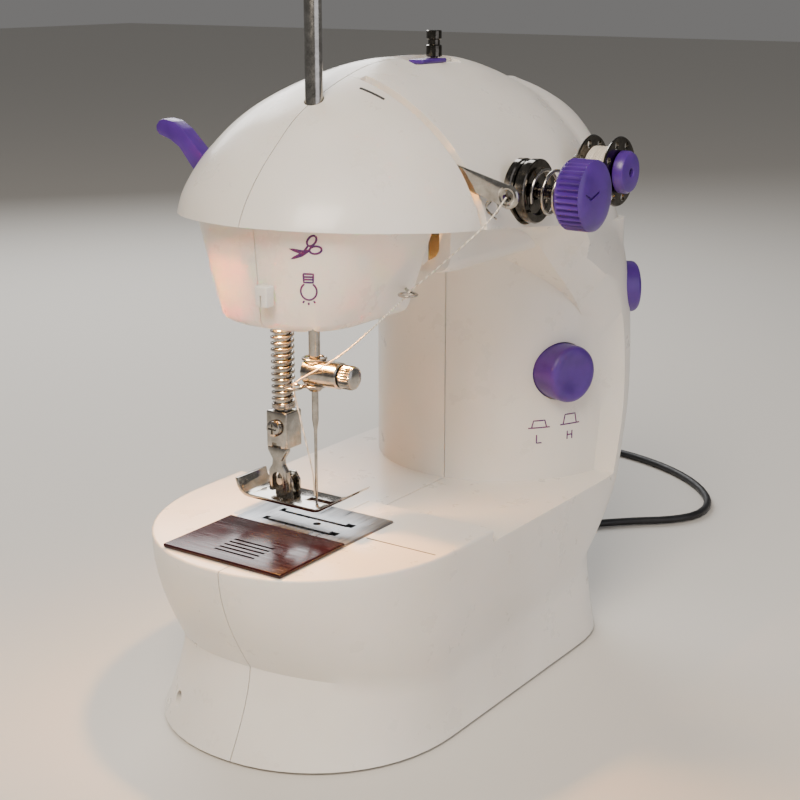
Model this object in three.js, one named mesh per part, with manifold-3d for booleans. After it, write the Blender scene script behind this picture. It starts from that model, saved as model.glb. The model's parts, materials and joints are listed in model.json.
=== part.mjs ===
// Portable two-thread sewing machine. Millimetres, +Z up.
// The needle end is -X, the hand wheel is +X, the operator sits at -Y.
import * as THREE from 'three';
import { mergeVertices } from 'three/addons/utils/BufferGeometryUtils.js';
import Module from 'manifold-3d';

const wasm = await Module();
wasm.setup();

// ---- driving dimensions -------------------------------------------------
const GAP = 0.3;              // clearance between pieces that touch
const HALF_GAP = GAP / 2;
const WALL = 2.2;             // moulded casing wall
const BASE_Y = 3.6;           // middle of the base; the casing seam is at y = 0
const BASE_LEFT = -109.5;     // needle end of the table
const SKIRT_LEFT = -107.3;    // needle end of the skirt
const WAIST_LEFT = -97.5;     // needle end of the waist
const SKIRT_BOTTOM = 0.8;     // the feet lift the skirt this far
const TABLE_Z = 57.5;         // raised table
const STEP_X = -40.8;         // edge between the raised and the lower table
const STEP_DOWN = 3.8;
const LOWER_Z = TABLE_Z - STEP_DOWN;
const RIM_Z = 147.2;          // lower edge of the hood at the needle end
const TOP_Z = 186;            // highest point of the arm
const LAMP_BOX_Z = 119;       // underside of the lamp box
const TIER_Z = 130.5;         // underside of the lower arm tier
const HEAD_CUT_X = -50;       // parting line of the head cover
const SLOT_WIDTH = 3;         // take-up slot
const NEEDLE_X = -66.5;
const NEEDLE_Y = 0;
const PRESSER_Y = 11.3;
const NEEDLE_BAR_R = 1.6;
const PRESSER_BAR_R = 2.4;
const FOOT_Z = 64;            // sole of the presser foot, held up by cloth
const SHAFT_Y = 5;
const SHAFT_Z = 150;
const SHAFT_R = 2.5;
const CRANK = 9;              // crank throw, half the needle stroke
const LOWER_SHAFT_Z = 26;
const TENSION_X = -26;
const TENSION_Z = 151.9;
const SPOOL_X = 10.5;
const SPOOL_Z = 153.8;
const BOBBIN_R = 10.15;       // class 15 bobbin
const BOBBIN_H = 9.6;
const POLE_X = -65;
const POLE_R = 2.4;
const WHEEL_R = 14.5;
const CORD_R = 1.5;
const PLUG_Z = 21;            // height of the power inlet
const PLUG_Y = 20;
const COARSE = 20;

// ---- small helpers --------------------------------------------------------
const toSolid = (geometry) => {
  const plain = geometry.clone();
  plain.deleteAttribute('normal');
  plain.deleteAttribute('uv');
  const merged = mergeVertices(plain, 1e-4);
  const build = (triangles) => {
    const mesh = new wasm.Mesh({
      numProp: 3,
      vertProperties: new Float32Array(merged.attributes.position.array),
      triVerts: new Uint32Array(triangles),
    });
    mesh.merge();
    return new wasm.Manifold(mesh);
  };
  const triangles = Array.from(merged.index.array);
  const solid = build(triangles);
  return solid.volume() > 0 ? solid : build(triangles.reverse());
};

const toGeometry = (solid) => {
  const mesh = solid.getMesh();
  const geometry = new THREE.BufferGeometry();
  geometry.setAttribute('position', new THREE.Float32BufferAttribute(mesh.vertProperties, 3));
  geometry.setIndex(Array.from(mesh.triVerts));
  geometry.computeVertexNormals();
  return geometry;
};

const join = (...solids) => solids.reduce((sum, solid) => sum.add(solid));

const box = (x0, x1, y0, y1, z0, z1) => {
  const geometry = new THREE.BoxGeometry(x1 - x0, y1 - y0, z1 - z0);
  geometry.translate((x0 + x1) / 2, (y0 + y1) / 2, (z0 + z1) / 2);
  return toSolid(geometry);
};

const AXIS_TURN = {
  x: new THREE.Matrix4().makeRotationZ(-Math.PI / 2),
  y: new THREE.Matrix4(),
  z: new THREE.Matrix4().makeRotationX(Math.PI / 2),
};

// A turned solid: profile points are [radius, distance along the axis].
const lathe = (axis, profile, centre, segments = COARSE) => {
  const points = profile.map(([r, d]) => new THREE.Vector2(r, d));
  const geometry = new THREE.LatheGeometry(points, segments);
  geometry.applyMatrix4(AXIS_TURN[axis]);
  geometry.translate(...centre);
  return toSolid(geometry);
};

const rod = (axis, radius, from, to, centre, segments = COARSE) =>
  lathe(axis, [[0, from], [radius, from], [radius, to], [0, to]], centre, segments);

const ring = (axis, inner, outer, from, to, centre, segments = COARSE) =>
  lathe(axis, [[inner, from], [outer, from], [outer, to], [inner, to], [inner, from]], centre, segments);

// An outline in a plane, pushed along the third axis.
const SLAB_TURN = {
  xz: new THREE.Matrix4().set(1, 0, 0, 0, 0, 0, 1, 0, 0, 1, 0, 0, 0, 0, 0, 1),
  yz: new THREE.Matrix4().set(0, 0, 1, 0, 1, 0, 0, 0, 0, 1, 0, 0, 0, 0, 0, 1),
};
const slab = (plane, outline, from, to) => {
  const shape = new THREE.Shape(outline.map(([a, b]) => new THREE.Vector2(a, b)));
  const geometry = new THREE.ExtrudeGeometry(shape, { depth: to - from, bevelEnabled: false });
  geometry.translate(0, 0, from);
  geometry.applyMatrix4(SLAB_TURN[plane]);
  return toSolid(geometry);
};

// A tube along a smooth curve through the points.
const tube = (points, radius, steps, sides = 8) => {
  const curve = new THREE.CatmullRomCurve3(points.map((p) => new THREE.Vector3(...p)));
  const section = new THREE.Shape();
  for (let i = 0; i < sides; i += 1) {
    const turn = (i / sides) * Math.PI * 2;
    const point = [radius * Math.cos(turn), radius * Math.sin(turn)];
    if (i === 0) section.moveTo(...point);
    else section.lineTo(...point);
  }
  section.closePath();
  return toSolid(new THREE.ExtrudeGeometry(section, { steps, extrudePath: curve, bevelEnabled: false }));
};

// Rings of equal point counts, stacked and closed at both ends.
const stack = (rings) => {
  const count = rings[0].length;
  const vertices = rings.flat(2);
  const triangles = [];
  rings.slice(1).forEach((_, level) => {
    for (let i = 0; i < count; i += 1) {
      const a = level * count + i;
      const b = level * count + ((i + 1) % count);
      triangles.push(a, b, b + count, a, b + count, a + count);
    }
  });
  const cap = (level, upward) => {
    const centre = vertices.length / 3;
    const middle = [0, 1, 2].map((k) => rings[level].reduce((sum, p) => sum + p[k], 0) / count);
    vertices.push(...middle);
    for (let i = 0; i < count; i += 1) {
      const a = level * count + i;
      const b = level * count + ((i + 1) % count);
      if (upward) triangles.push(a, b, centre);
      else triangles.push(b, a, centre);
    }
  };
  cap(0, false);
  cap(rings.length - 1, true);
  const geometry = new THREE.BufferGeometry();
  geometry.setAttribute('position', new THREE.Float32BufferAttribute(vertices, 3));
  geometry.setIndex(triangles);
  return toSolid(geometry);
};

// A plan outline with a super-elliptic left end and right end.
const plan = (o, count = 13) => {
  const points = [];
  const arc = (centre, reach, power, from) => {
    for (let i = 0; i < count; i += 1) {
      const turn = from + (i / (count - 1)) * Math.PI;
      const c = Math.cos(turn);
      const s = Math.sin(turn);
      const x = Math.sign(c) * Math.abs(c) ** (2 / power) * reach;
      const y = Math.sign(s) * Math.abs(s) ** (2 / power) * o.half;
      points.push([centre + x, o.middle + y]);
    }
  };
  arc(o.rightFrom, o.right - o.rightFrom, o.rightPower, -Math.PI / 2);
  arc(o.leftFrom, o.leftFrom - o.left, o.leftPower, Math.PI / 2);
  return points;
};

const mix = (a, b, t) => a + (b - a) * t;

const mixPlans = (a, b, t) =>
  Object.fromEntries(Object.keys(a).map((key) => [key, mix(a[key], b[key], t)]));

const shrink = (o, inset) => ({
  ...o,
  left: o.left + inset,
  right: o.right - inset,
  half: Math.max(o.half - inset, 0.4),
});

// ---- casing shapes --------------------------------------------------------
const base = {
  middle: BASE_Y,
  leftPower: 2.1,
  rightPower: 3,
};
const SKIRT = { ...base, left: SKIRT_LEFT, leftFrom: -60, right: 46, rightFrom: 12, half: 45.8 };
const WAIST = { ...base, left: WAIST_LEFT, leftFrom: -57, right: 44, rightFrom: 12, half: 42.6 };
const TABLE = { ...base, left: BASE_LEFT, leftFrom: -58, right: 58, rightFrom: 24, half: 46.8 };

// The crease between skirt and bowl dips along the middle and rises to the right.
const creaseHeight = (x) => {
  const leftRise = 8.5 * Math.max(0, (-45 - x) / 52) ** 1.5;
  const rightRise = 11 * Math.max(0, (x + 20) / 50) ** 1.4;
  return 17 + leftRise + rightRise;
};

const baseSolid = (inset) => {
  const rings = [];
  const level = (outline, height) => {
    rings.push(plan(shrink(outline, inset)).map(([x, y]) => [x, y, height(creaseHeight(x))]));
  };
  const bottom = SKIRT_BOTTOM - (inset > 0 ? 2 : 0);
  for (const t of [0, 0.4, 0.75, 1]) {
    const pinch = 1 - (1 - t) ** 1.6;
    level(mixPlans(SKIRT, WAIST, pinch), (crease) => mix(bottom, crease, t));
  }
  for (const t of [0.2, 0.45, 0.75, 1]) {
    const swell = 1 - (1 - t) ** 2;
    level(mixPlans(WAIST, TABLE, swell), (crease) => mix(crease, TABLE_Z - inset, t));
  }
  const whole = stack(rings);
  return whole.subtract(box(STEP_X + inset * 0.4, 200, -100, 100, LOWER_Z - inset, 100));
};

// The back of the C-shaped casing: right end, from the table to the top.
const spineLevel = (z, right, front, back, rightPower = 3) => ({
  z,
  outline: {
    middle: (front + back) / 2,
    left: 8,
    leftFrom: 14,
    right,
    rightFrom: right - 32,
    half: (back - front) / 2,
    leftPower: 6,
    rightPower,
  },
});
const SPINE = [
  spineLevel(LOWER_Z - 6, 55, -42.6, 49.8),
  spineLevel(LOWER_Z, 57, -43, 50.2),
  spineLevel(75, 63.5, -42.4, 54),
  spineLevel(95, 66, -41.2, 57),
  spineLevel(115, 65, -40, 56),
  spineLevel(130, 63, -38, 52, 2.8),
  spineLevel(142, 61.5, -35.5, 47, 2.6),
  spineLevel(153, 60, -32.5, 42, 2.4),
  spineLevel(162, 58, -28, 36, 2.3),
  spineLevel(169, 55, -21.5, 30, 2.2),
  spineLevel(174, 50.5, -13, 22, 2),
  spineLevel(177, 44, -3, 11, 2),
];

// The long dome of the arm and hood.
const domeLevel = (z, left, leftFrom, rightFrom, right, front, back) => ({
  z,
  outline: {
    middle: (front + back) / 2,
    left,
    leftFrom,
    right,
    rightFrom,
    half: (back - front) / 2,
    leftPower: 2.05,
    rightPower: 2.1,
  },
});
const DOME = [
  domeLevel(112, -98, -48, -5, 50, -38, 46),
  domeLevel(TIER_Z, -98, -48, -5, 56, -43, 47),
  domeLevel(RIM_Z - 5, -98, -48, -5, 57, -43.4, 47),
  domeLevel(RIM_Z, -97.2, -48, -5, 56, -42.8, 46.4),
  domeLevel(153, -94.2, -48, -5, 54, -40.4, 45),
  domeLevel(160, -88.5, -46, -5, 51, -36.4, 42),
  domeLevel(167, -80.8, -43, -6, 46, -30.4, 37.5),
  domeLevel(173, -73, -40, -8, 40, -23.6, 31.5),
  domeLevel(178, -63, -37, -12, 31, -16.4, 24.5),
  domeLevel(182, -52, -34, -16, 20, -9.4, 17),
  domeLevel(184.7, -42, -31, -18, 8, -3.4, 10.5),
  domeLevel(TOP_Z, -33, -28, -20, -6, 1, 5.5),
];

const layered = (levels, inset) =>
  stack(levels.map(({ z, outline }, i) => {
    const top = i === levels.length - 1;
    const height = i === 0 ? z - inset : z - inset * Math.min(1, i / 4);
    return plan(shrink(outline, inset)).map(([x, y]) => [x, y, top ? z - inset : height]);
  }));

// The edge of the C-shaped casing seen from the front: [rim, inner edge] in x, z.
const RIM_LINE = [
  [[-96, RIM_Z], [-96, RIM_Z]],
  [[-50, 144], [-50, 144]],
  [[-16, 140.6], [-16, 139]],
  [[0, 138.4], [-4, 134]],
  [[17, 132.6], [8, 124]],
  [[32, 121.8], [22, 112]],
  [[40.5, 110], [29.5, 101]],
  [[43, 96], [33, 88]],
  [[41, 75], [34.5, 72]],
  [[34.5, LOWER_Z], [34, LOWER_Z]],
];
const MOUTH_DEPTH = 9;        // from the rim to where the column begins

const mouthProfile = (side, inset) => {
  const line = RIM_LINE.map((pair) => pair[side]);
  const moved = line.map(([x, z], i) => {
    const [ax, az] = line[Math.max(0, i - 1)];
    const [bx, bz] = line[Math.min(line.length - 1, i + 1)];
    const length = Math.hypot(bx - ax, bz - az);
    return [x - ((bz - az) / length) * inset, z + ((bx - ax) / length) * inset];
  });
  const far = BASE_LEFT - 40;
  return [[far, LOWER_Z], [far, moved[0][1]], ...moved, [moved.at(-1)[0], LOWER_Z - inset]];
};

const mouthCutter = (inset) => {
  const front = BASE_Y - TABLE.half + 1;
  const back = BASE_Y + TABLE.half - 1;
  const slices = [
    [front - 60, 0],
    [front, 0],
    [front + MOUTH_DEPTH, 1],
    [back - MOUTH_DEPTH, 1],
    [back, 0],
    [back + 60, 0],
  ];
  const rings = slices.map(([y, side]) => mouthProfile(side, inset).map(([x, z]) => [x, y, z]));
  const below = box(-400, STEP_X, -200, 200, LOWER_Z - 10, TABLE_Z);
  return stack(rings).subtract(below);
};

const COLUMN = {
  middle: 5, left: -0.3, leftFrom: 46, right: 56, rightFrom: 46, half: 42, leftPower: 2, rightPower: 2,
};

const columnSolid = (inset) => {
  const outline = plan(shrink(COLUMN, inset));
  const reach = inset > 0 ? 8 : 0.5;
  return stack([LOWER_Z - reach, TIER_Z + 4].map((z) => outline.map(([x, y]) => [x, y, z])));
};

const TIER = {
  middle: 5, left: -52, leftFrom: -40, right: 30, rightFrom: 10, half: 38, leftPower: 4, rightPower: 2,
};

const tierSolid = (inset) => {
  const levels = [[TIER_Z + inset, 3], [TIER_Z + 4 + inset, 0], [147, 0]];
  return stack(levels.map(([z, tuck]) => plan(shrink(TIER, inset + tuck)).map(([x, y]) => [x, y, z])));
};

const LAMP_BOX_BOTTOM = {
  middle: 1, left: -89, leftFrom: -70, right: -38, rightFrom: -46, half: 20.5, leftPower: 2.6, rightPower: 4,
};
const LAMP_BOX_TOP = {
  middle: 1, left: -91.5, leftFrom: -66, right: -34, rightFrom: -46, half: 31, leftPower: 2.6, rightPower: 4,
};

const lampBoxSolid = (inset) => {
  const levels = [[0, 2.5], [0.1, 0], [0.5, 0], [1, 0]];
  const span = 148 - LAMP_BOX_Z;
  const whole = stack(levels.map(([t, tuck], i) => {
    const outline = mixPlans(LAMP_BOX_BOTTOM, LAMP_BOX_TOP, t);
    const z = LAMP_BOX_Z + t * span + (i < 2 ? inset : 0);
    return plan(shrink(outline, inset + tuck)).map(([x, y]) => [x, y, z]);
  }));
  const lampBoxEnd = HEAD_CUT_X - inset;
  return whole.subtract(box(lampBoxEnd, 0, -60, 60, 100, TIER_Z + inset));
};

const casing = (inset) => {
  const big = join(baseSolid(inset), layered(SPINE, inset), layered(DOME, inset));
  return join(big.subtract(mouthCutter(inset)), columnSolid(inset), tierSolid(inset), lampBoxSolid(inset));
};

// ---- materials ------------------------------------------------------------
const paint = (color, roughness, metalness) =>
  new THREE.MeshStandardMaterial({ color, roughness, metalness });
const whitePlastic = paint(0xf1eee8, 0.3, 0);
const purplePlastic = paint(0x6a4bb0, 0.35, 0);
const darkPlastic = paint(0x1d1b1e, 0.5, 0);
const smokePlastic = paint(0x3a1220, 0.15, 0);
const rubber = paint(0x9a9a98, 0.8, 0);
const chrome = paint(0xc8c9cc, 0.15, 1);
const steel = paint(0x8d9094, 0.35, 1);
const threadWhite = paint(0xe6e4dc, 0.9, 0);
const lampGlass = paint(0xffe2a8, 0.1, 0);

const group = new THREE.Group();
const add = (name, solid, material) => {
  const mesh = new THREE.Mesh(toGeometry(solid), material);
  mesh.name = name;
  group.add(mesh);
  return mesh;
};

// ---- places that several pieces share -------------------------------------
const PLATE_Y = 18;           // front face of the chassis plate
const PLATE_T = 2;
const FIT = 0.3;              // running clearance, per side
const PULLEY_X = [29, 35];
const PULLEY_R = 9.3;
const BELT_T = 1.2;
const HOOK_X = -81;
const HOOK_R = BOBBIN_R + 3.25; // the bobbin and its case fit inside
const HOOK_TOP = 52;
const HOOK_FLOOR = 40;
const GEAR_X = [20, 24];
const GEAR_R = 12;
const PINION_R = 3.5;
const MOTOR_Y = SHAFT_Y - GEAR_R - PINION_R - FIT;
const MOTOR_R = 10.5;
const TAKE_UP_Y = 3;
const TAKE_UP_Z = 166;
const TAKE_UP_X = HEAD_CUT_X + SLOT_WIDTH / 2;
const EYE_Y = -50.5;
const EYE_Z = 153.3;
const LIFTER_Y = 31;
const LIFTER_Z = 153.5;
const LIFTER_W = 5;
const DECK_Z = TABLE_Z - WALL - 1;
const PLATE_TOP = TABLE_Z + 0.5;
const SLIDE_X = [-104.5, -76];
const SLIDE_Y = [-17, 24];
const SLIDE_Z = [TABLE_Z + 0.1, TABLE_Z + 1.3];
const NEEDLE_PLATE_X = [-75.6, -52];
const NEEDLE_PLATE_Y = [-16.5, 23.5];
const FEED_X = [[-71.4, -69.4], [-63.6, -61.6]];
const FEED_Y = [-8, 14];
const GUIDE_Z = [122, 134];
const POLE_FOOT_Z = 168.5;
const WHEEL_X = [67.2, 77.2];
const BUTTON = { at: [20.8, -29.4, 88.8], turn: 0.35, radius: 9 };
const POWER = { at: [52, -33.5, 111], turn: 0.73, radius: 8.2 };
const KNOB_FRONT = -65.4;
const WINDER_Z = TOP_Z - 2.2; // floor of the winder's recess

// Solids made about an axis along -Y and then swung about Z.
const swing = (solid, place) => solid
  .translate([-place.at[0], -place.at[1], -place.at[2]])
  .rotate([0, 0, (place.turn * 180) / Math.PI * place.side])
  .translate(place.at);
BUTTON.side = -1;
POWER.side = 1;

// Cutting a shell can leave slivers: the biggest body is the piece.
const biggest = (solid) => solid.decompose().reduce((a, b) => (a.volume() > b.volume() ? a : b));

// ---- casing ---------------------------------------------------------------
const outerCasing = casing(0);
const walls = outerCasing.subtract(casing(WALL));

const bosses = () => {
  const posts = [];
  for (const [x, z] of [[-30, 160], [8, 160], [40, 105], [40, 66], [-30, 24], [-60, 24]]) {
    posts.push(rod('y', 3.5, PLATE_Y + PLATE_T + FIT, 60, [x, 0, z], 12));
  }
  for (const [x, y] of [[-72, -27], [16, -27], [-72, 36], [16, 36]]) {
    posts.push(rod('z', 3.5, 4.8, LOWER_Z - 1, [x, y, 0], 12));
  }
  posts.push(box(-80, NEEDLE_PLATE_X[1] + 3, NEEDLE_PLATE_Y[0] - 3, -11, DECK_Z - 1.5, TABLE_Z - 1));
  posts.push(box(-80, NEEDLE_PLATE_X[1] + 3, 20, NEEDLE_PLATE_Y[1] + 3, DECK_Z - 1.5, TABLE_Z - 1));
  posts.push(ring('z', POLE_R + FIT, POLE_R + 2.4, POLE_FOOT_Z - 1, 178, [POLE_X, 0, 0], 16));
  posts.push(box(-27, 4.5, -8, 8, WINDER_Z - 2.4, WINDER_Z));
  posts.push(rod('y', 11, -50, -36.6, [TENSION_X, 0, TENSION_Z], 24));
  return join(...posts).intersect(outerCasing);
};

const openings = () => join(
  box(-85, -57, -14, 20.6, LAMP_BOX_Z - 5, LAMP_BOX_Z + 6),
  rod('z', POLE_R + FIT, POLE_FOOT_Z - 2, 200, [POLE_X, 0, 0], 16),
  box(-71, -62.5, 28, 60, 143, 179),
  rod('y', 2.6, -60, -30, [TENSION_X, 0, TENSION_Z], 12),
  rod('y', 9.4, -60, -40.2, [TENSION_X, 0, TENSION_Z], 28),
  rod('y', 2.2, -60, -25, [SPOOL_X, 0, SPOOL_Z], 12),
  swing(rod('y', BUTTON.radius + FIT, -30, 12, BUTTON.at), BUTTON),
  swing(rod('y', POWER.radius + FIT, -30, 12, POWER.at), POWER),
  rod('x', SHAFT_R + FIT, 45, 90, [0, SHAFT_Y, SHAFT_Z], 16),
  rod('x', 4.5, 30, 70, [0, PLUG_Y, PLUG_Z], 16),
  box(-13, -2, -1.6, 1.6, WINDER_Z - 13.8, WINDER_Z + 6.2),
  box(-24, 1.5, -5, 5, WINDER_Z - 0.1, WINDER_Z + 16.2),
  box(
    NEEDLE_PLATE_X[0] - FIT, NEEDLE_PLATE_X[1] + FIT,
    NEEDLE_PLATE_Y[0] - FIT, NEEDLE_PLATE_Y[1] + FIT, DECK_Z + 1.2, 80,
  ),
  box(-97, -55, -11, 20, 48, 80),
  rod('x', 1.8, -120, -92, [0, 28, 8], 12),
);

const hollow = join(walls, bosses()).subtract(openings());
const slot = box(HEAD_CUT_X - HALF_GAP, HEAD_CUT_X + SLOT_WIDTH, -70, -4, 100, 200);
const headZone = box(-130, HEAD_CUT_X, -70, 0, TABLE_Z + 20, 200);
const headCut = box(-130, HEAD_CUT_X + HALF_GAP, -70, HALF_GAP, TABLE_Z + 19, 200);
const frontHalf = hollow.intersect(box(-130, 100, -80, -HALF_GAP, -5, 200));
add('front_shell', biggest(frontHalf.subtract(headCut).subtract(slot)), whitePlastic);
add('rear_shell', biggest(hollow.intersect(box(-130, 100, HALF_GAP, 80, -5, 200))), whitePlastic);
add('head_cover', biggest(frontHalf.intersect(headZone).subtract(slot)), whitePlastic);

const coverPlan = shrink(mixPlans(SKIRT, WAIST, 0.4), WALL + 0.4);
const coverZ = [2.2, 4.4];
const coverPlate = stack(coverZ.map((z) => plan(coverPlan).map(([x, y]) => [x, y, z])));
add('bottom_cover', coverPlate, whitePlastic);
[[-85, -18], [-85, 27], [26, -24], [26, 33]].forEach(([x, y], i) => {
  add(`foot_pad_${i + 1}`, rod('z', 6, 0, coverZ[0], [x, y, 0], 16), rubber);
});

// ---- table pieces ---------------------------------------------------------
const slidePlate = () => {
  const plate = box(...SLIDE_X, ...SLIDE_Y, ...SLIDE_Z);
  const grip = [0, 1, 2].map((i) => box(-98 + i * 2.4, -96.8 + i * 2.4, -3, 10, SLIDE_Z[1] - 0.5, SLIDE_Z[1] + 1));
  return plate.subtract(join(...grip));
};
add('slide_plate', slidePlate(), smokePlastic);

const needlePlate = () => {
  const plate = box(...NEEDLE_PLATE_X, ...NEEDLE_PLATE_Y, DECK_Z + 1.5, PLATE_TOP);
  const slots = FEED_X.map(([a, b]) => box(a - FIT, b + FIT, FEED_Y[0] - 2.2, FEED_Y[1] + 2.2, 40, 70));
  return plate.subtract(join(rod('z', 1.2, 40, 70, [NEEDLE_X, NEEDLE_Y, 0], 12), ...slots));
};
add('needle_plate', needlePlate(), chrome);

const feedDog = () => {
  const bars = FEED_X.map(([a, b]) => box(a, b, ...FEED_Y, HOOK_TOP + 0.6, PLATE_TOP + 0.4));
  const bridge = box(FEED_X[0][0], FEED_X[1][1], 4, FEED_Y[1], HOOK_TOP + 0.6, HOOK_TOP + 2.4);
  const stem = box(-65.4, FEED_X[1][1], 7, 12, 34.6, HOOK_TOP + 1);
  return join(...bars, bridge, stem);
};
add('feed_dog', feedDog(), steel);

// ---- hook and lower drive -------------------------------------------------
const hookAt = [HOOK_X, SHAFT_Y, 0];
const HOOK_GEAR_Z = [33, 36];
add('shuttle_hook', lathe('z', [
  [0, 17], [3, 17], [3, HOOK_GEAR_Z[0]], [10, HOOK_GEAR_Z[0]], [10, HOOK_GEAR_Z[1]], [3, HOOK_GEAR_Z[1]],
  [3, HOOK_FLOOR], [HOOK_R, HOOK_FLOOR], [HOOK_R, HOOK_TOP], [HOOK_R - 1.2, HOOK_TOP],
  [HOOK_R - 1.2, HOOK_FLOOR + 1.5], [0, HOOK_FLOOR + 1.5],
], hookAt, 28), chrome);
const CASE_FLOOR = HOOK_FLOOR + 1.5 + FIT;
const CASE_R = HOOK_R - 1.2 - FIT;
add('bobbin_case', lathe('z', [
  [0, CASE_FLOOR], [CASE_R, CASE_FLOOR], [CASE_R, HOOK_TOP], [CASE_R - 1, HOOK_TOP],
  [CASE_R - 1, CASE_FLOOR + 0.8], [0, CASE_FLOOR + 0.8],
], hookAt, 28), darkPlastic);
const bobbinProfile = (low, high, hub) => [
  [3, low], [BOBBIN_R, low], [BOBBIN_R, low + 0.8], [hub, low + 0.8],
  [hub, high - 0.8], [BOBBIN_R, high - 0.8], [BOBBIN_R, high], [3, high], [3, low],
];
const lowerBobbinZ = CASE_FLOOR + 0.8 + FIT;
add('lower_bobbin', lathe('z', bobbinProfile(lowerBobbinZ, lowerBobbinZ + 8.6, 8), hookAt, 24), chrome);

const lowerShaft = () => join(
  rod('x', SHAFT_R, -77, 40.6, [0, SHAFT_Y, LOWER_SHAFT_Z]),
  rod('x', HOOK_GEAR_Z[0] - FIT - LOWER_SHAFT_Z, -76, -73, [0, SHAFT_Y, LOWER_SHAFT_Z], 18),
  rod('x', GEAR_R, ...GEAR_X, [0, SHAFT_Y, LOWER_SHAFT_Z], 32),
  rod('x', PULLEY_R, ...PULLEY_X, [0, SHAFT_Y, LOWER_SHAFT_Z], 24),
);
add('lower_shaft', lowerShaft(), steel);
add('motor', join(
  rod('x', MOTOR_R, -12, GEAR_X[0] - 3, [0, MOTOR_Y, LOWER_SHAFT_Z], 24),
  rod('x', 3, GEAR_X[0] - 3, GEAR_X[0] - 1.5, [0, MOTOR_Y, LOWER_SHAFT_Z], 16),
), steel);
const pinionAt = [0, MOTOR_Y, LOWER_SHAFT_Z];
add('motor_pinion', rod('x', PINION_R, GEAR_X[0] - 1.2, GEAR_X[1], pinionAt, 16), whitePlastic);

const timingBelt = () => {
  const loop = (r) => {
    const points = [];
    for (let i = 0; i <= 12; i += 1) {
      const turn = (i / 12) * Math.PI;
      points.push([SHAFT_Y + r * Math.cos(turn), SHAFT_Z + r * Math.sin(turn)]);
    }
    for (let i = 0; i <= 12; i += 1) {
      const turn = Math.PI + (i / 12) * Math.PI;
      points.push([SHAFT_Y + r * Math.cos(turn), LOWER_SHAFT_Z + r * Math.sin(turn)]);
    }
    return points;
  };
  const inside = PULLEY_R + FIT;
  const width = [PULLEY_X[0] + 0.5, PULLEY_X[1] - 0.5];
  return slab('yz', loop(inside + BELT_T), ...width)
    .subtract(slab('yz', loop(inside), width[0] - 1, width[1] + 1));
};
add('timing_belt', timingBelt(), darkPlastic);

// ---- chassis --------------------------------------------------------------
const chassis = () => {
  const plate = (x0, x1, z0, z1) => box(x0, x1, PLATE_Y, PLATE_Y + PLATE_T, z0, z1);
  const bearing = (x0, x1, z) => box(x0, x1, SHAFT_Y - 5, PLATE_Y + 1, z - 5, z + 5);
  const solids = [
    plate(-72, 40.5, 141, 164),
    plate(36.5, 40.5, 13, 164),
    plate(-88, 40.5, 13, 34),
    plate(-72, -61, 124, 164),
    bearing(-45, -40, SHAFT_Z),
    bearing(36.5, 40.5, SHAFT_Z),
    bearing(-69, -62, LOWER_SHAFT_Z),
    bearing(36.5, 40.5, LOWER_SHAFT_Z),
    box(HOOK_X - 5, HOOK_X + 5, 0, PLATE_Y + 1, 16, 22),
    box(-8, 14, MOTOR_Y - 6, PLATE_Y + 1, 12.2, LOWER_SHAFT_Z - MOTOR_R - FIT),
    box(-72, -61, NEEDLE_Y - 4, PLATE_Y + 1, ...GUIDE_Z),
    box(-45, -41, TAKE_UP_Y - 3, PLATE_Y + 1, 160, 169),
    rod('x', 1.5, TAKE_UP_X - 1.2, -44, [0, TAKE_UP_Y, TAKE_UP_Z], 12),
    box(-60.5, -57, PLATE_Y + 1, LIFTER_Y + 3, LIFTER_Z - 4, LIFTER_Z + 4),
    rod('x', 1.5, NEEDLE_X - LIFTER_W / 2, -58, [0, LIFTER_Y, LIFTER_Z], 12),
    plate(-83, -70, 138, 146),
    box(-66, -61, 8, PLATE_Y + 1, 30, 34.3),
  ];
  const holes = [
    rod('x', SHAFT_R + FIT, -100, 80, [0, SHAFT_Y, SHAFT_Z], 16),
    rod('x', SHAFT_R + FIT, -78, 80, [0, SHAFT_Y, LOWER_SHAFT_Z], 16),
    rod('z', 3 + FIT, 15, 50, hookAt, 16),
    rod('z', NEEDLE_BAR_R + FIT, 100, 136, [NEEDLE_X, NEEDLE_Y, 0], 16),
    rod('z', PRESSER_BAR_R + FIT, 100, 136, [NEEDLE_X, PRESSER_Y, 0], 16),
    box(-70.5, -62.5, 10, 22, 137, 160),
  ];
  return join(...solids).subtract(join(...holes));
};
add('chassis', chassis(), steel);

// ---- upper drive ----------------------------------------------------------
const crankPinY = SHAFT_Y - CRANK;
const mainShaft = () => join(
  rod('x', SHAFT_R, -60, 72, [0, SHAFT_Y, SHAFT_Z]),
  rod('x', CRANK + 3, -60.5, -57.5, [0, SHAFT_Y, SHAFT_Z], 24),
  rod('x', 1.4, -63.4, -60, [0, crankPinY, SHAFT_Z], 12),
  rod('x', PULLEY_R, ...PULLEY_X, [0, SHAFT_Y, SHAFT_Z], 24),
);
add('main_shaft', mainShaft(), steel);

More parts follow.
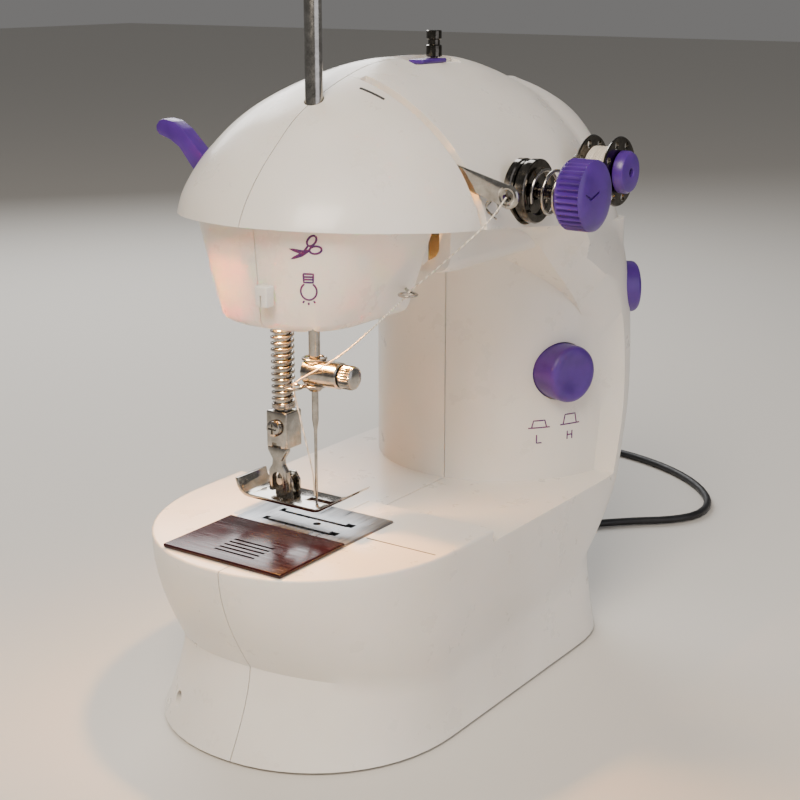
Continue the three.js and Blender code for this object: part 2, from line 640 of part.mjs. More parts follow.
const handWheel = () => {
  const rim = lathe('x', [
    [SHAFT_R + FIT, WHEEL_X[0]], [WHEEL_R - 1.5, WHEEL_X[0]], [WHEEL_R, WHEEL_X[0] + 1.5],
    [WHEEL_R, WHEEL_X[1] - 2], [WHEEL_R - 2, WHEEL_X[1]], [0, WHEEL_X[1]], [0, 72 + FIT],
    [SHAFT_R + FIT, 72 + FIT], [SHAFT_R + FIT, WHEEL_X[0]],
  ], [0, SHAFT_Y, SHAFT_Z], 48);
  const notches = [];
  for (let i = 0; i < 16; i += 1) {
    const turn = (i / 16) * Math.PI * 2;
    const at = [0, SHAFT_Y + (WHEEL_R + 1) * Math.cos(turn), SHAFT_Z + (WHEEL_R + 1) * Math.sin(turn)];
    notches.push(rod('x', 1.8, WHEEL_X[0] - 1, WHEEL_X[1] + 1, at, 6));
  }
  return rim.subtract(join(...notches));
};
add('hand_wheel', handWheel(), purplePlastic);

const yokeSlot = { y: [-7.5, 8.5], z: 3.6 };
const needleYoke = () => {
  const frame = box(-63.2, -61.2, yokeSlot.y[0] - 2, yokeSlot.y[1] + 2, SHAFT_Z - 6, SHAFT_Z + 6);
  const hub = box(NEEDLE_X - 3, -62, NEEDLE_Y - 3, NEEDLE_Y + 3, SHAFT_Z - 4, SHAFT_Z + 4);
  const cut = join(
    box(-64.4, -60, ...yokeSlot.y, SHAFT_Z - yokeSlot.z, SHAFT_Z + yokeSlot.z),
    rod('z', NEEDLE_BAR_R + 0.1, 130, 170, [NEEDLE_X, NEEDLE_Y, 0], 16),
  );
  return join(frame, hub).subtract(cut);
};
add('needle_yoke', needleYoke(), steel);

// ---- needle bar and clamp -------------------------------------------------
const CLAMP_Z = [98.5, 107];
add('needle_bar', rod('z', NEEDLE_BAR_R, CLAMP_Z[0] + 2, 158, [NEEDLE_X, NEEDLE_Y, 0], 16), chrome);
const CLAMP_MID = 102.8;
const CLAMP_R = 3.7;
const RING_AT = [-70.7, 4.5];
const needleClamp = () => {
  const block = rod('y', CLAMP_R, -9.5, 2.6, [NEEDLE_X, 0, CLAMP_MID]);
  const bore = join(
    rod('z', NEEDLE_BAR_R + 0.1, CLAMP_Z[0] + 1.9, 120, [NEEDLE_X, NEEDLE_Y, 0], 16),
    rod('z', 1.1, 90, 101, [NEEDLE_X, NEEDLE_Y, 0], 12),
  );
  const eye = ring('z', 2.3, 3, 98.2, 99, [...RING_AT, 0], 18);
  const arm = box(-69.6, NEEDLE_X + 1, -1, 3.4, 98.2, CLAMP_MID - CLAMP_R + 0.6);
  return join(block, eye, arm).subtract(bore);
};
add('needle_clamp', needleClamp(), chrome);
add('clamp_screw', rod('y', 3.4, -14.2, -9.7, [NEEDLE_X, 0, CLAMP_MID], 16), chrome);
const NEEDLE_TIP = 61.5;
add('needle', lathe('z', [
  [0, NEEDLE_TIP], [0.45, NEEDLE_TIP + 4], [0.5, 86], [0.95, 90], [0.95, 100], [0, 100],
], [NEEDLE_X, NEEDLE_Y, 0], 10), chrome);

// ---- take-up lever --------------------------------------------------------
const takeUpLever = () => {
  const t = 1.2;
  const x = [TAKE_UP_X - t / 2, TAKE_UP_X + t / 2];
  const hub = rod('x', 4, ...x, [0, TAKE_UP_Y, TAKE_UP_Z]);
  const tip = rod('x', 2.9, ...x, [0, EYE_Y, EYE_Z]);
  const strip = slab('yz', [
    [TAKE_UP_Y, TAKE_UP_Z + 3.4], [-33, 161], [EYE_Y, EYE_Z + 2.5], [EYE_Y + 1, EYE_Z - 2.5], [-33, 155.8],
    [TAKE_UP_Y, TAKE_UP_Z - 3.4],
  ], ...x);
  const holes = join(
    rod('x', 1.5 + FIT, x[0] - 1, x[1] + 1, [0, TAKE_UP_Y, TAKE_UP_Z], 12),
    rod('x', 1.3, x[0] - 1, x[1] + 1, [0, EYE_Y, EYE_Z], 12),
  );
  return join(hub, tip, strip).subtract(holes);
};
add('take_up_lever', takeUpLever(), chrome);

// ---- presser bar and foot -------------------------------------------------
const HOLDER_Z = [76.8, 90.2];
const pressAt = [NEEDLE_X, PRESSER_Y, 0];
add('presser_bar', join(
  rod('z', PRESSER_BAR_R, HOLDER_Z[1] - 3, 160, pressAt, 16),
  box(NEEDLE_X - 2, NEEDLE_X + 2, PRESSER_Y, 20.4, 150.6, 154),
  rod('z', 3.1, 149, 155, pressAt, 16),
), chrome);
const springZ = [HOLDER_Z[1] + FIT, GUIDE_Z[0] - FIT];
add('presser_spring', ring('z', PRESSER_BAR_R + 0.2, 3.5, ...springZ, pressAt, 16), chrome);
const footHolder = () => {
  const block = box(NEEDLE_X - 3.6, NEEDLE_X + 3.6, PRESSER_Y - 3.6, PRESSER_Y + 3.6, ...HOLDER_Z);
  const shank = box(NEEDLE_X - 3.5, NEEDLE_X - 1.5, PRESSER_Y - 2.4, PRESSER_Y + 2.4, 68.5, HOLDER_Z[0] + 1);
  const bore = rod('z', PRESSER_BAR_R + 0.1, HOLDER_Z[1] - 3.1, 100, pressAt, 16);
  const screwHole = rod('x', 1.4, NEEDLE_X - 5, NEEDLE_X, [0, PRESSER_Y, 85.5], 12);
  const pin = rod('x', 1.1, NEEDLE_X - 2, NEEDLE_X + 2.2, [0, PRESSER_Y, 69.2], 12);
  return join(block, shank, pin).subtract(join(bore, screwHole));
};
add('foot_holder', footHolder(), chrome);
add('foot_screw', join(
  rod('x', 2.4, NEEDLE_X - 6, NEEDLE_X - 3.9, [0, PRESSER_Y, 85.5], 16),
  rod('x', 1.2, NEEDLE_X - 4.5, NEEDLE_X - 0.5, [0, PRESSER_Y, 85.5], 12),
), chrome);
const presserFoot = () => {
  const t = 1.1;
  const low = FOOT_Z;
  const sole = slab('yz', [
    [24.5, low + 4.6], [23, low + 1], [20, low], [-4, low], [-13.5, low + 5.4],
    [-14.2, low + 6.4], [-4.4, low + t], [20, low + t], [22, low + 1.8], [23.4, low + 4.8],
  ], NEEDLE_X - 6.5, NEEDLE_X + 6.5);
  const ears = [-1, 1].map((side) => box(
    NEEDLE_X + (side < 0 ? -0.9 : 2.7), NEEDLE_X + (side < 0 ? -0.1 : 3.5),
    PRESSER_Y - 3, PRESSER_Y + 3, low + 0.6, low + 7.4,
  ));
  const window = join(
    box(NEEDLE_X - 1.6, NEEDLE_X + 1.6, -30, 3, low - 5, low + 20),
    rod('x', 1.1 + FIT, NEEDLE_X - 5, NEEDLE_X + 5, [0, PRESSER_Y, 69.2], 12),
  );
  return join(sole, ...ears).subtract(window);
};
add('presser_foot', presserFoot(), chrome);

const lifterLever = () => {
  const x = [NEEDLE_X - LIFTER_W / 2 + FIT, NEEDLE_X + LIFTER_W / 2];
  const body = slab('yz', [
    [19.4, 147], [24, 147.4], [LIFTER_Y, LIFTER_Z - 3.6], [36, 151.5], [41, 156.5], [45.5, 161.8],
    [53, 165], [54, 167.6], [51, 169.6], [44, 167], [37, 160.5], [LIFTER_Y, LIFTER_Z + 3.6],
    [26, 154], [22.4, 149.8], [19.4, 149.6],
  ], ...x);
  const hole = rod('x', 1.5 + FIT, x[0] - 1, x[1] + 1, [0, LIFTER_Y, LIFTER_Z], 12);
  return body.subtract(hole);
};
add('lifter_lever', lifterLever(), purplePlastic);

// ---- lamp, cutter and guides ----------------------------------------------
const LAMP_AT = [-78, 9, 0];
add('lamp_socket', rod('z', 4.2, 137, 146, [LAMP_AT[0], PLATE_Y - 4.2 - FIT, 0], 16), darkPlastic);
add('lamp_bulb', lathe('z', [
  [0, 124.6], [2.2, 125.6], [3, 128], [3, 134.5], [2, 136.7], [0, 136.7],
], [LAMP_AT[0], PLATE_Y - 4.2 - FIT, 0], 14), lampGlass);
const threadCutter = () => {
  const block = box(-94, -90.6, -6, -2, 126.2, 131.8);
  return block.subtract(box(-96, -92.2, -4.4, -3.6, 120, 129.4));
};
add('thread_cutter', threadCutter(), whitePlastic);
const GUIDE_AT = [-59.5, -26.5, 126];
add('face_guide', ring('z', 2, 2.8, 0, 0.8, GUIDE_AT, 16), chrome);

// ---- tension --------------------------------------------------------------
const tensionAt = [TENSION_X, 0, TENSION_Z];
const disc = (back, front) => lathe('y', [
  [2.4, back], [8.6, back], [8.6, back - 1], [6, front], [2.4, front], [2.4, back],
], tensionAt, 28);
add('tension_stud', join(
  rod('y', 2, -57.4, -30, tensionAt, 12),
  rod('y', 5, -34, -32, tensionAt, 12),
), chrome);
add('tension_disc_rear', disc(-40.6, -43.4), chrome);
add('tension_disc_front', disc(-43.8, -47), chrome);
add('tension_spring', ring('y', 4.2, 5.4, -56, -47.4, tensionAt, 16), chrome);
const tensionKnob = () => {
  const body = lathe('y', [
    [0, -57.8], [3, -57.8], [3, -56.4], [9.2, -56.4], [9.7, -57.4], [9.7, KNOB_FRONT + 1.2],
    [8.6, KNOB_FRONT], [0, KNOB_FRONT],
  ], tensionAt, 48);
  const grooves = [];
  for (let i = 0; i < 20; i += 1) {
    const turn = (i / 20) * Math.PI * 2;
    const at = [TENSION_X + 10.3 * Math.cos(turn), 0, TENSION_Z + 10.3 * Math.sin(turn)];
    grooves.push(rod('y', 1, -70, -50, at, 6));
  }
  return body.subtract(join(...grooves));
};
add('tension_knob', tensionKnob(), purplePlastic);

// ---- spool pin ------------------------------------------------------------
const spoolAt = [SPOOL_X, 0, SPOOL_Z];
const BOBBIN_Y = [-52.8, -52.8 + BOBBIN_H];
add('spool_pin', join(
  rod('y', 1.8, -55.2, -28, spoolAt, 12),
  rod('y', 4, WALL - 34.6, WALL - 32.2, spoolAt, 12),
), chrome);
add('spool_spring', ring('y', 2.2, 3.6, BOBBIN_Y[1] + FIT, -40.5, spoolAt, 16), chrome);
add('spool_bobbin', lathe('y', bobbinProfile(...BOBBIN_Y, 3.6), spoolAt, 28), chrome);
add('spool_thread', ring('y', 3.6 + 0.1, 7, BOBBIN_Y[0] + 0.9, BOBBIN_Y[1] - 0.9, spoolAt, 20), threadWhite);
const spoolCap = () => lathe('y', [
  [2, BOBBIN_Y[0] - FIT], [6.15, BOBBIN_Y[0] - FIT], [6.15, -55.6], [5.4, -56.6], [1, -56.6], [1, -55.5],
  [2, -55.5], [2, BOBBIN_Y[0] - FIT],
], spoolAt, 24);
add('spool_cap', spoolCap(), purplePlastic);

// ---- bobbin winder --------------------------------------------------------
const WINDER_AT = [-7.3, 0, 0];
add('winder_slider', join(
  box(-18, -2.5, -4, 4, WINDER_Z, WINDER_Z + 1.6),
  rod('z', 3.2, WINDER_Z + 1, WINDER_Z + 2.6, WINDER_AT, 16),
).subtract(rod('z', 1.4, 170, 200, WINDER_AT, 12)), purplePlastic);
const SPINDLE_Z = WINDER_Z + 2.9;
const SPINDLE_FOOT = WINDER_Z - 6.8;
add('winder_spindle', lathe('z', [
  [0, SPINDLE_FOOT], [1.1, SPINDLE_FOOT], [1.1, SPINDLE_Z], [2.2, SPINDLE_Z], [2.2, SPINDLE_Z + 1.2], [1.4, SPINDLE_Z + 1.6],
  [1.4, SPINDLE_Z + 3.6], [2.2, SPINDLE_Z + 4], [2.2, SPINDLE_Z + 5.8],
  [1.6, SPINDLE_Z + 6.4], [0, SPINDLE_Z + 6.4],
], WINDER_AT, 16), chrome);

// ---- thread pole ----------------------------------------------------------
const poleAt = [POLE_X, 0, 0];
const POLE_TOP = 224;
add('pole_lower', ring('z', 1.9, POLE_R, POLE_FOOT_Z, POLE_TOP, poleAt, 16), chrome);
const poleUpper = () => {
  const stem = rod('z', 1.6, 190, 238, poleAt, 12);
  const arm = rod('x', 1, -14, 14, [POLE_X, 0, 237], 8);
  const loop = (x) => ring('z', 2, 3.2, 236.2, 237.8, [x, 0, 0], 12);
  return join(stem, arm, loop(POLE_X - 16), loop(POLE_X + 16));
};
add('pole_upper', poleUpper(), chrome);

// ---- buttons --------------------------------------------------------------
const pushButton = (place, proud) => swing(lathe('y', [
  [0, 4], [place.radius, 4], [place.radius, 1 - proud], [place.radius - 1, -proud], [0, -proud],
], place.at, 32), place);
add('speed_button', pushButton(BUTTON, 7), purplePlastic);
add('power_button', pushButton(POWER, 5.4), purplePlastic);

// ---- thread ---------------------------------------------------------------
const THREAD_R = 0.25;
const CLAMP_SIDE = NEEDLE_X - CLAMP_R - 0.8;
add('thread_upper', tube([
  [TAKE_UP_X - 0.95, EYE_Y, EYE_Z],
  [-53.4, -44.6, 144.5],
  [GUIDE_AT[0], GUIDE_AT[1], GUIDE_AT[2] + 1],
], THREAD_R, 14, 6), threadWhite);
add('thread_needle', tube([
  [GUIDE_AT[0], GUIDE_AT[1], GUIDE_AT[2] + 0.4],
  [CLAMP_SIDE, -14.4, 111.6],
  [CLAMP_SIDE, 2, 101],
  [RING_AT[0], RING_AT[1] - 0.4, 98.4],
  [NEEDLE_X - 2.6, 3, 84],
  [NEEDLE_X - 0.8, 0.9, FOOT_Z + 2.6],
], THREAD_R, 30, 6), threadWhite);

// ---- power lead -----------------------------------------------------------
const PLUG_X = [45, 62];
add('power_plug', lathe('x', [
  [0, PLUG_X[0]], [4.2, PLUG_X[0]], [4.2, 56], [5.2, 56], [5.2, 66], [2.6, 84], [0, 84],
], [0, PLUG_Y, PLUG_Z], 16), darkPlastic);
const COIL = { at: [182, 78, 0], mean: 18, half: 4.8, top: 9.8 };
const LEAD = [
  [84.7, PLUG_Y, PLUG_Z], [93, 19.6, 16.5], [101, 16, 7], [109, 11, CORD_R + 0.2], [118, 4, CORD_R + 0.2],
  [128, -6, CORD_R + 0.2], [138, -17, CORD_R + 0.2], [150, -23, CORD_R + 0.2], [166, -20, CORD_R + 0.2],
  [182, -8, CORD_R + 0.2], [195, 10, CORD_R + 0.2], [203.5, 32, CORD_R + 0.2], [206.8, 55, CORD_R + 0.2],
  [206.8, 77, CORD_R + 0.2],
];
add('power_lead', tube(LEAD, CORD_R, 64), darkPlastic);
add('lead_coil', lathe('z', [
  [COIL.mean - COIL.half, 0.2], [COIL.mean + COIL.half, 0.2], [COIL.mean + COIL.half, COIL.top],
  [COIL.mean - COIL.half, COIL.top], [COIL.mean - COIL.half, 0.2],
], COIL.at, 32), darkPlastic);
add('wall_adapter', box(168, 196, 101.3, 143.3, 0.2, 26), darkPlastic);

const centre = [(BASE_LEFT + WHEEL_X[1]) / 2, (KNOB_FRONT + 57) / 2];
group.position.set(-centre[0], -centre[1], 0);
export default group;
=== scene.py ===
"""Small white sewing machine: the finished pieces around its engineering frame.

Sizes inside the functions are millimetres, measured from the casing seam at the
middle of the table end; at() turns them into metres in the frame's own place.
"""
import json
import math

import bmesh
import bpy
from mathutils import Matrix, Vector
from mathutils.bvhtree import BVHTree


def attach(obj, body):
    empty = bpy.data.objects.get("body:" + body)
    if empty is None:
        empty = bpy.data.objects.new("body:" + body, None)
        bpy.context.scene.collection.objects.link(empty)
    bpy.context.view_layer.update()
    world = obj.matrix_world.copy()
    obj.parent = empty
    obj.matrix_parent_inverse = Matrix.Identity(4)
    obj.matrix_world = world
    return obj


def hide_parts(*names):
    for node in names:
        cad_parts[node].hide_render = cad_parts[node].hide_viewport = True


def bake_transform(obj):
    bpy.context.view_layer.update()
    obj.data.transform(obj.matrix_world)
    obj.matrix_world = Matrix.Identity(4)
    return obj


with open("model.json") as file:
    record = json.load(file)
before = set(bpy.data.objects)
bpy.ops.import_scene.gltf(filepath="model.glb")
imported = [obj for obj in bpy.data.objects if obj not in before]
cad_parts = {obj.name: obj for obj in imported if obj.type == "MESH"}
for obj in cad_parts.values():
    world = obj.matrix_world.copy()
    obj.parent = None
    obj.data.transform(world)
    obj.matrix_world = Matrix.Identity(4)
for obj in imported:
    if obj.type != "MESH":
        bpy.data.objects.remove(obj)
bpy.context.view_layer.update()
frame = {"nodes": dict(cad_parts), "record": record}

bl_info = {
    "name": "Portable Sewing Machine",
    "version": (1, 0, 0),
    "blender": (4, 5, 0),
    "location": "View3D > Sidebar > Sewing Machine",
    "description": "Builds the finished pieces of a portable sewing machine",
    "category": "Add Mesh",
}

MM = 0.001
MERGE_DISTANCE = 0.001 * MM
SEAM_PLACE = (16.15, 4.2)  # where the seam's zero lies from the middle of the footprint

# ---- the casing's measures ------------------------------------------------------
WALL = 2.2
SEAM_GAP = 0.3
TABLE_Z = 57.5
STEP_X = -40.8
LOWER_Z = 53.7
RIM_Z = 147.2
TOP_Z = 186
LAMP_BOX_Z = 119
TIER_Z = 130.5
HEAD_CUT_X = -50
SLOT_WIDTH = 3
WINDER_Z = TOP_Z - 2.2

# ---- where the small pieces sit ---------------------------------------------------
NEEDLE = (-66.5, 0)
PRESSER = (-66.5, 11.3)
TENSION = (-26, 151.9)
SPOOL = (10.5, 153.8)
POLE_X = -65
FOOT_Z = 64
CLAMP_Z = 102.8
EYE = (-48.5, -50.5, 153.3)
GUIDE = (-59.5, -26.5, 126.4)
CLAMP_RING = (-70.7, 4.5, 98.6)
CORD_R = 1.5
PLUG = (20, 21)
SHAFT = (5, 150)
COIL_X, COIL_Y = 182, 78
COIL_LAYER = 3.1  # from one layer of the stored lead to the next
WINDER_X = -7.3
LIFTER_PIVOT = (31, 153.5)
TAKE_UP_PIVOT = (3, 166)
HOLDER_SCREW_Z = 85.5
PLATE_SEAT_Z = 55.5
STEPS_PER_RIB = 8
TABLE_MIDDLE = 3.6
TABLE_HALF = 46.8


def at(x, y, z):
    """A place in millimetres from the seam, as metres in the frame."""
    return Vector((x + SEAM_PLACE[0], y + SEAM_PLACE[1], z)) * MM


def from_seam(place):
    """A place in the frame as millimetres from the seam."""
    return place / MM - Vector((*SEAM_PLACE, 0))


def mix(a, b, t):
    return a + (b - a) * t


def circle_angles(count):
    """Evenly spread angles of one full turn."""
    return [i / count * math.tau for i in range(count)]


def round_places(a, b, radius, angles):
    """Pairs of measures on a circle about (a, b), one for each angle."""
    return [(a + radius * math.cos(angle), b + radius * math.sin(angle)) for angle in angles]


# ---- sizes and colours a user would change ------------------------------------------


class MachineSizes(bpy.types.PropertyGroup):
    """Detail sizes of the finished pieces"""

    edge_round: bpy.props.FloatProperty(
        name="Edge Round",
        description="Rounding of the edges of the engineering pieces that stay in view",
        default=0.12 * MM,
        min=0.0,
        unit="LENGTH",
        precision=5,
    )
    knob_ribs: bpy.props.IntProperty(
        name="Knob Ribs",
        description="Ribs round the thread tension knob",
        default=34,
        min=8,
        max=80,
    )
    spring_turns: bpy.props.IntProperty(
        name="Presser Spring Turns",
        description="Turns of wire in the presser bar spring",
        default=21,
        min=4,
        max=40,
    )
    thread_diameter: bpy.props.FloatProperty(
        name="Thread Diameter",
        description="Thickness of the sewing thread",
        default=0.45 * MM,
        min=0.0001,
        unit="LENGTH",
        precision=5,
    )


class MachineColours(bpy.types.PropertyGroup):
    """Colours of the finished pieces, as sRGB hex"""

    casing: bpy.props.StringProperty(name="Casing", description="White of the casing", default="#EFEBE4")
    accent: bpy.props.StringProperty(name="Accent", description="Knobs, buttons and lever", default="#52298F")
    cover: bpy.props.StringProperty(name="Slide Plate", description="Bobbin cover plastic", default="#2B0A10")
    mark: bpy.props.StringProperty(name="Marks", description="Ink of the printed marks", default="#6E1F5C")
    floor: bpy.props.StringProperty(name="Floor", description="Plain floor", default="#D9D6D0")


def sizes():
    return bpy.context.scene.machine_sizes


def colours():
    return bpy.context.scene.machine_colours


# ---- materials --------------------------------------------------------------------


def linear(code):
    """A hex colour as linear red, green, blue and alpha."""
    channels = [int(code[i:i + 2], 16) / 255 for i in (1, 3, 5)]
    return [c / 12.92 if c <= 0.04045 else ((c + 0.055) / 1.055) ** 2.4 for c in channels] + [1.0]


def add_node(tree, kind, settings=None, inputs=None, links=None):
    """Adds one node: attributes, socket values, and {socket: output socket} links."""
    node = tree.nodes.new(kind)
    for key, value in (settings or {}).items():
        setattr(node, key, value)
    for key, value in (inputs or {}).items():
        node.inputs[key].default_value = value
    for key, source in (links or {}).items():
        tree.links.new(source, node.inputs[key])
    return node


def new_material(name, shader):
    """A material with an empty tree and one surface shader; returns material, tree, shader."""
    material = bpy.data.materials.get(name)
    if material:
        return material, None, None
    material = bpy.data.materials.new(name)
    material.use_nodes = True
    tree = material.node_tree
    tree.nodes.clear()
    surface = add_node(tree, "ShaderNodeBsdfPrincipled", inputs=shader)
    add_node(tree, "ShaderNodeOutputMaterial", links={"Surface": surface.outputs[0]})
    return material, tree, surface


def texture(tree, kind, scale, stretch=(1, 1, 1), **inputs):
    """A pattern on Object coordinates; scale is features per metre."""
    place = add_node(tree, "ShaderNodeTexCoord")
    turned_place = add_node(
        tree, "ShaderNodeMapping", inputs={"Scale": stretch}, links={"Vector": place.outputs["Object"]}
    )
    return add_node(
        tree, kind, inputs={"Scale": scale, **inputs}, links={"Vector": turned_place.outputs["Vector"]}
    )


def spread(tree, source, low, high, start=0.3, end=0.7):
    """Maps a pattern to a range of values."""
    return add_node(
        tree,
        "ShaderNodeMapRange",
        inputs={"From Min": start, "From Max": end, "To Min": low, "To Max": high},
        links={"Value": source},
    ).outputs[0]


def tint(tree, surface, source, dark, light, start=0.35, end=0.65):
    """Drives the base colour between two colours."""
    blend = add_node(tree, "ShaderNodeMix", {"data_type": "RGBA"})
    blend.inputs[6].default_value = linear(dark)
    blend.inputs[7].default_value = linear(light)
    tree.links.new(spread(tree, source, 0, 1, start, end), blend.inputs[0])
    tree.links.new(blend.outputs[2], surface.inputs["Base Color"])


def roughen(tree, surface, source, low, high):
    """Drives the roughness between two values."""
    tree.links.new(spread(tree, source, low, high), surface.inputs["Roughness"])


def emboss(tree, surface, source, depth):
    """Bump from a pattern; depth in metres."""
    bump = add_node(
        tree, "ShaderNodeBump", inputs={"Strength": 0.6, "Distance": depth}, links={"Height": source}
    )
    tree.links.new(bump.outputs[0], surface.inputs["Normal"])


def abs_white_moulded():
    """Moulded ABS: a glossy skin with painted shade in faint waves for its sink marks, and fingermarks that
    dull it in patches.
    """
    material, tree, surface = new_material(
        "abs_white_moulded",
        {"Roughness": 0.3, "IOR": 1.53, "Subsurface Weight": 0.12, "Subsurface Scale": 0.003,
         "Subsurface Radius": (1.0, 0.72, 0.45), "Coat Weight": 0.15, "Coat Roughness": 0.12},
    )
    if tree:
        # painted shade: the white is darkened in faint waves where sink marks would catch the light
        sink_wave_painted_shade = texture(tree, "ShaderNodeTexNoise", 22, Detail=3.0)
        tint(tree, surface, sink_wave_painted_shade.outputs[0], "#E6E1D8", colours().casing)
        marks = texture(tree, "ShaderNodeTexNoise", 90, Detail=6.0, Roughness=0.65)
        roughen(tree, surface, marks.outputs[0], 0.24, 0.4)
        # spark-eroded mould grain is 0.1 mm across; 0.5 mm shows
        grain = texture(tree, "ShaderNodeTexNoise", 2000, Detail=2.0)
        emboss(tree, surface, grain.outputs[0], 0.000012)
    return material


def purple_abs_moulded():
    """Moulded coloured ABS: satin, with small flow marks in the colour."""
    material, tree, surface = new_material(
        "purple_abs_moulded",
        {"Roughness": 0.34, "IOR": 1.53, "Subsurface Weight": 0.05, "Subsurface Scale": 0.001,
         "Coat Weight": 0.1, "Coat Roughness": 0.2},
    )
    if tree:
        flow = texture(tree, "ShaderNodeTexNoise", 120, Detail=4.0)
        tint(tree, surface, flow.outputs[0], "#43217A", colours().accent)
        roughen(tree, surface, flow.outputs[0], 0.28, 0.45)
        grain = texture(tree, "ShaderNodeTexNoise", 2500, Detail=2.0)
        emboss(tree, surface, grain.outputs[0], 0.00002)
    return material


def nickel_plated_steel():
    """Bright nickel plate: mirror-like with rubbed, slightly oily patches."""
    material, tree, surface = new_material(
        "nickel_plated_steel", {"Metallic": 1.0, "Roughness": 0.14, "Base Color": linear("#B4B0A9")}
    )
    if tree:
        rub = texture(tree, "ShaderNodeTexNoise", 260, Detail=6.0, Roughness=0.7)
        tint(tree, surface, rub.outputs[0], "#98948D", "#C2BEB7")
        roughen(tree, surface, rub.outputs[0], 0.08, 0.26)
        scratch = texture(tree, "ShaderNodeTexNoise", 900, (1, 1, 0.15), Detail=3.0)
        emboss(tree, surface, scratch.outputs[0], 0.000008)
    return material


def black_nickel_plated():
    """Dark nickel plate: a smoky mirror, rubbed brighter in small patches."""
    material, tree, surface = new_material(
        "black_nickel_plated", {"Metallic": 1.0, "Roughness": 0.12, "Base Color": linear("#5C5853")}
    )
    if tree:
        rub = texture(tree, "ShaderNodeTexNoise", 300, Detail=5.0, Roughness=0.7)
        tint(tree, surface, rub.outputs[0], "#47443F", "#76716A")
        roughen(tree, surface, rub.outputs[0], 0.07, 0.2)
    return material


def brushed_steel_sheet():
    """Stamped steel: fine brushing along the piece and a soft grey shine."""
    material, tree, surface = new_material(
        "brushed_steel_sheet", {"Metallic": 1.0, "Roughness": 0.32, "Base Color": linear("#9B9C9F")}
    )
    if tree:
        brush = texture(tree, "ShaderNodeTexNoise", 700, (0.08, 1, 1), Detail=4.0)
        roughen(tree, surface, brush.outputs[0], 0.24, 0.46)
        tint(tree, surface, brush.outputs[0], "#84868A", "#AEB0B3")
        emboss(tree, surface, brush.outputs[0], 0.00001)
    return material


def smoked_styrene():
    """Moulded smoked polystyrene: dark, deep gloss with hairline rubs from sliding cloth."""
    material, tree, surface = new_material(
        "smoked_styrene", {"Roughness": 0.2, "IOR": 1.49, "Specular IOR Level": 0.3}
    )
    if tree:
        cloud = texture(tree, "ShaderNodeTexNoise", 60, Detail=3.0)
        tint(tree, surface, cloud.outputs[0], "#17060A", colours().cover)
        rub = texture(tree, "ShaderNodeTexNoise", 900, (1, 0.08, 1), Detail=4.0)
        roughen(tree, surface, rub.outputs[0], 0.14, 0.32)
    return material


def black_pvc_moulded():
    """Moulded soft PVC: near black with a dull even skin."""
    material, tree, surface = new_material("black_pvc_moulded", {"Roughness": 0.5, "IOR": 1.52})
    if tree:
        dust = texture(tree, "ShaderNodeTexNoise", 300, Detail=5.0)
        tint(tree, surface, dust.outputs[0], "#0E0E10", "#1D1D20")
        roughen(tree, surface, dust.outputs[0], 0.42, 0.6)
        grain = texture(tree, "ShaderNodeTexNoise", 1500, Detail=2.0)
        emboss(tree, surface, grain.outputs[0], 0.00003)
    return material


def grey_rubber_pressed():
    """Pressed rubber: matt, dusty grey."""
    material, tree, surface = new_material("grey_rubber_pressed", {"Roughness": 0.8, "IOR": 1.52})
    if tree:
        dust = texture(tree, "ShaderNodeTexNoise", 400, Detail=4.0)
        tint(tree, surface, dust.outputs[0], "#6C6B69", "#85837F")
        emboss(tree, surface, dust.outputs[0], 0.00005)
    return material


def polyester_thread_twisted():
    """Twisted polyester: plies slant round the thread, with a painted highlight along one side of each ply
    and painted shade between them, over a bump of the same pattern.
    """
    material, tree, surface = new_material(
        "polyester_thread_twisted", {"Roughness": 0.6, "Sheen Weight": 0.4, "IOR": 1.5}
    )
    if tree:
        # plies are 0.2 mm apart; 0.5 mm shows
        ply_relief_and_painted_shade = texture(tree, "ShaderNodeTexWave", 640, (1, 0.5, 1), Distortion=1.5)
        # painted light and shade: the colour is lighter on the ply crests and darker in the grooves between
        # plies
        tint(tree, surface, ply_relief_and_painted_shade.outputs[1], "#C9BFAF", "#F2ECE0", 0.2, 0.8)
        emboss(tree, surface, ply_relief_and_painted_shade.outputs[1], 0.0001)
    return material


def pad_printed_ink():
    """Pad-printed ink: thin, matt, with small breaks where the pad lifted."""
    material, tree, surface = new_material("pad_printed_ink", {"Roughness": 0.55, "IOR": 1.5})
    if tree:
        lift = texture(tree, "ShaderNodeTexNoise", 1200, Detail=3.0)
        tint(tree, surface, lift.outputs[0], "#4A1F63", colours().mark, 0.4, 0.6)
    return material


def floor_paper():
    """Plain matt paper."""
    return new_material("floor_paper", {"Roughness": 0.75, "Base Color": linear(colours().floor)})[0]


def lamp_glass_warm():
    """A small lit filament bulb: warm clear glass that gives off light."""
    material, tree, surface = new_material(
        "lamp_glass_warm",
        {"Roughness": 0.1, "Emission Color": linear("#FFB25A"), "Emission Strength": 1500.0},
    )
    if tree:
        frost = texture(tree, "ShaderNodeTexNoise", 500, Detail=2.0)
        tint(tree, surface, frost.outputs[0], "#FFD9A0", "#FFF0D0")
    return material


# ---- making pieces ------------------------------------------------------------------


def linked(name, data):
    """A new object in the scene, at the origin."""
    piece = bpy.data.objects.new(name, data)
    bpy.context.scene.collection.objects.link(piece)
    return piece


def from_bmesh(bm, name):
    """A mesh object from a bmesh, which is used up."""
    mesh = bpy.data.meshes.new(name)
    bm.to_mesh(mesh)
    bm.free()
    return linked(name, mesh)


def to_object(bm, name):
    """A mesh object from a bmesh, with merged points and faces outward."""
    bmesh.ops.remove_doubles(bm, verts=bm.verts[:], dist=MERGE_DISTANCE)
    bmesh.ops.recalc_face_normals(bm, faces=bm.faces[:])
    return from_bmesh(bm, name)


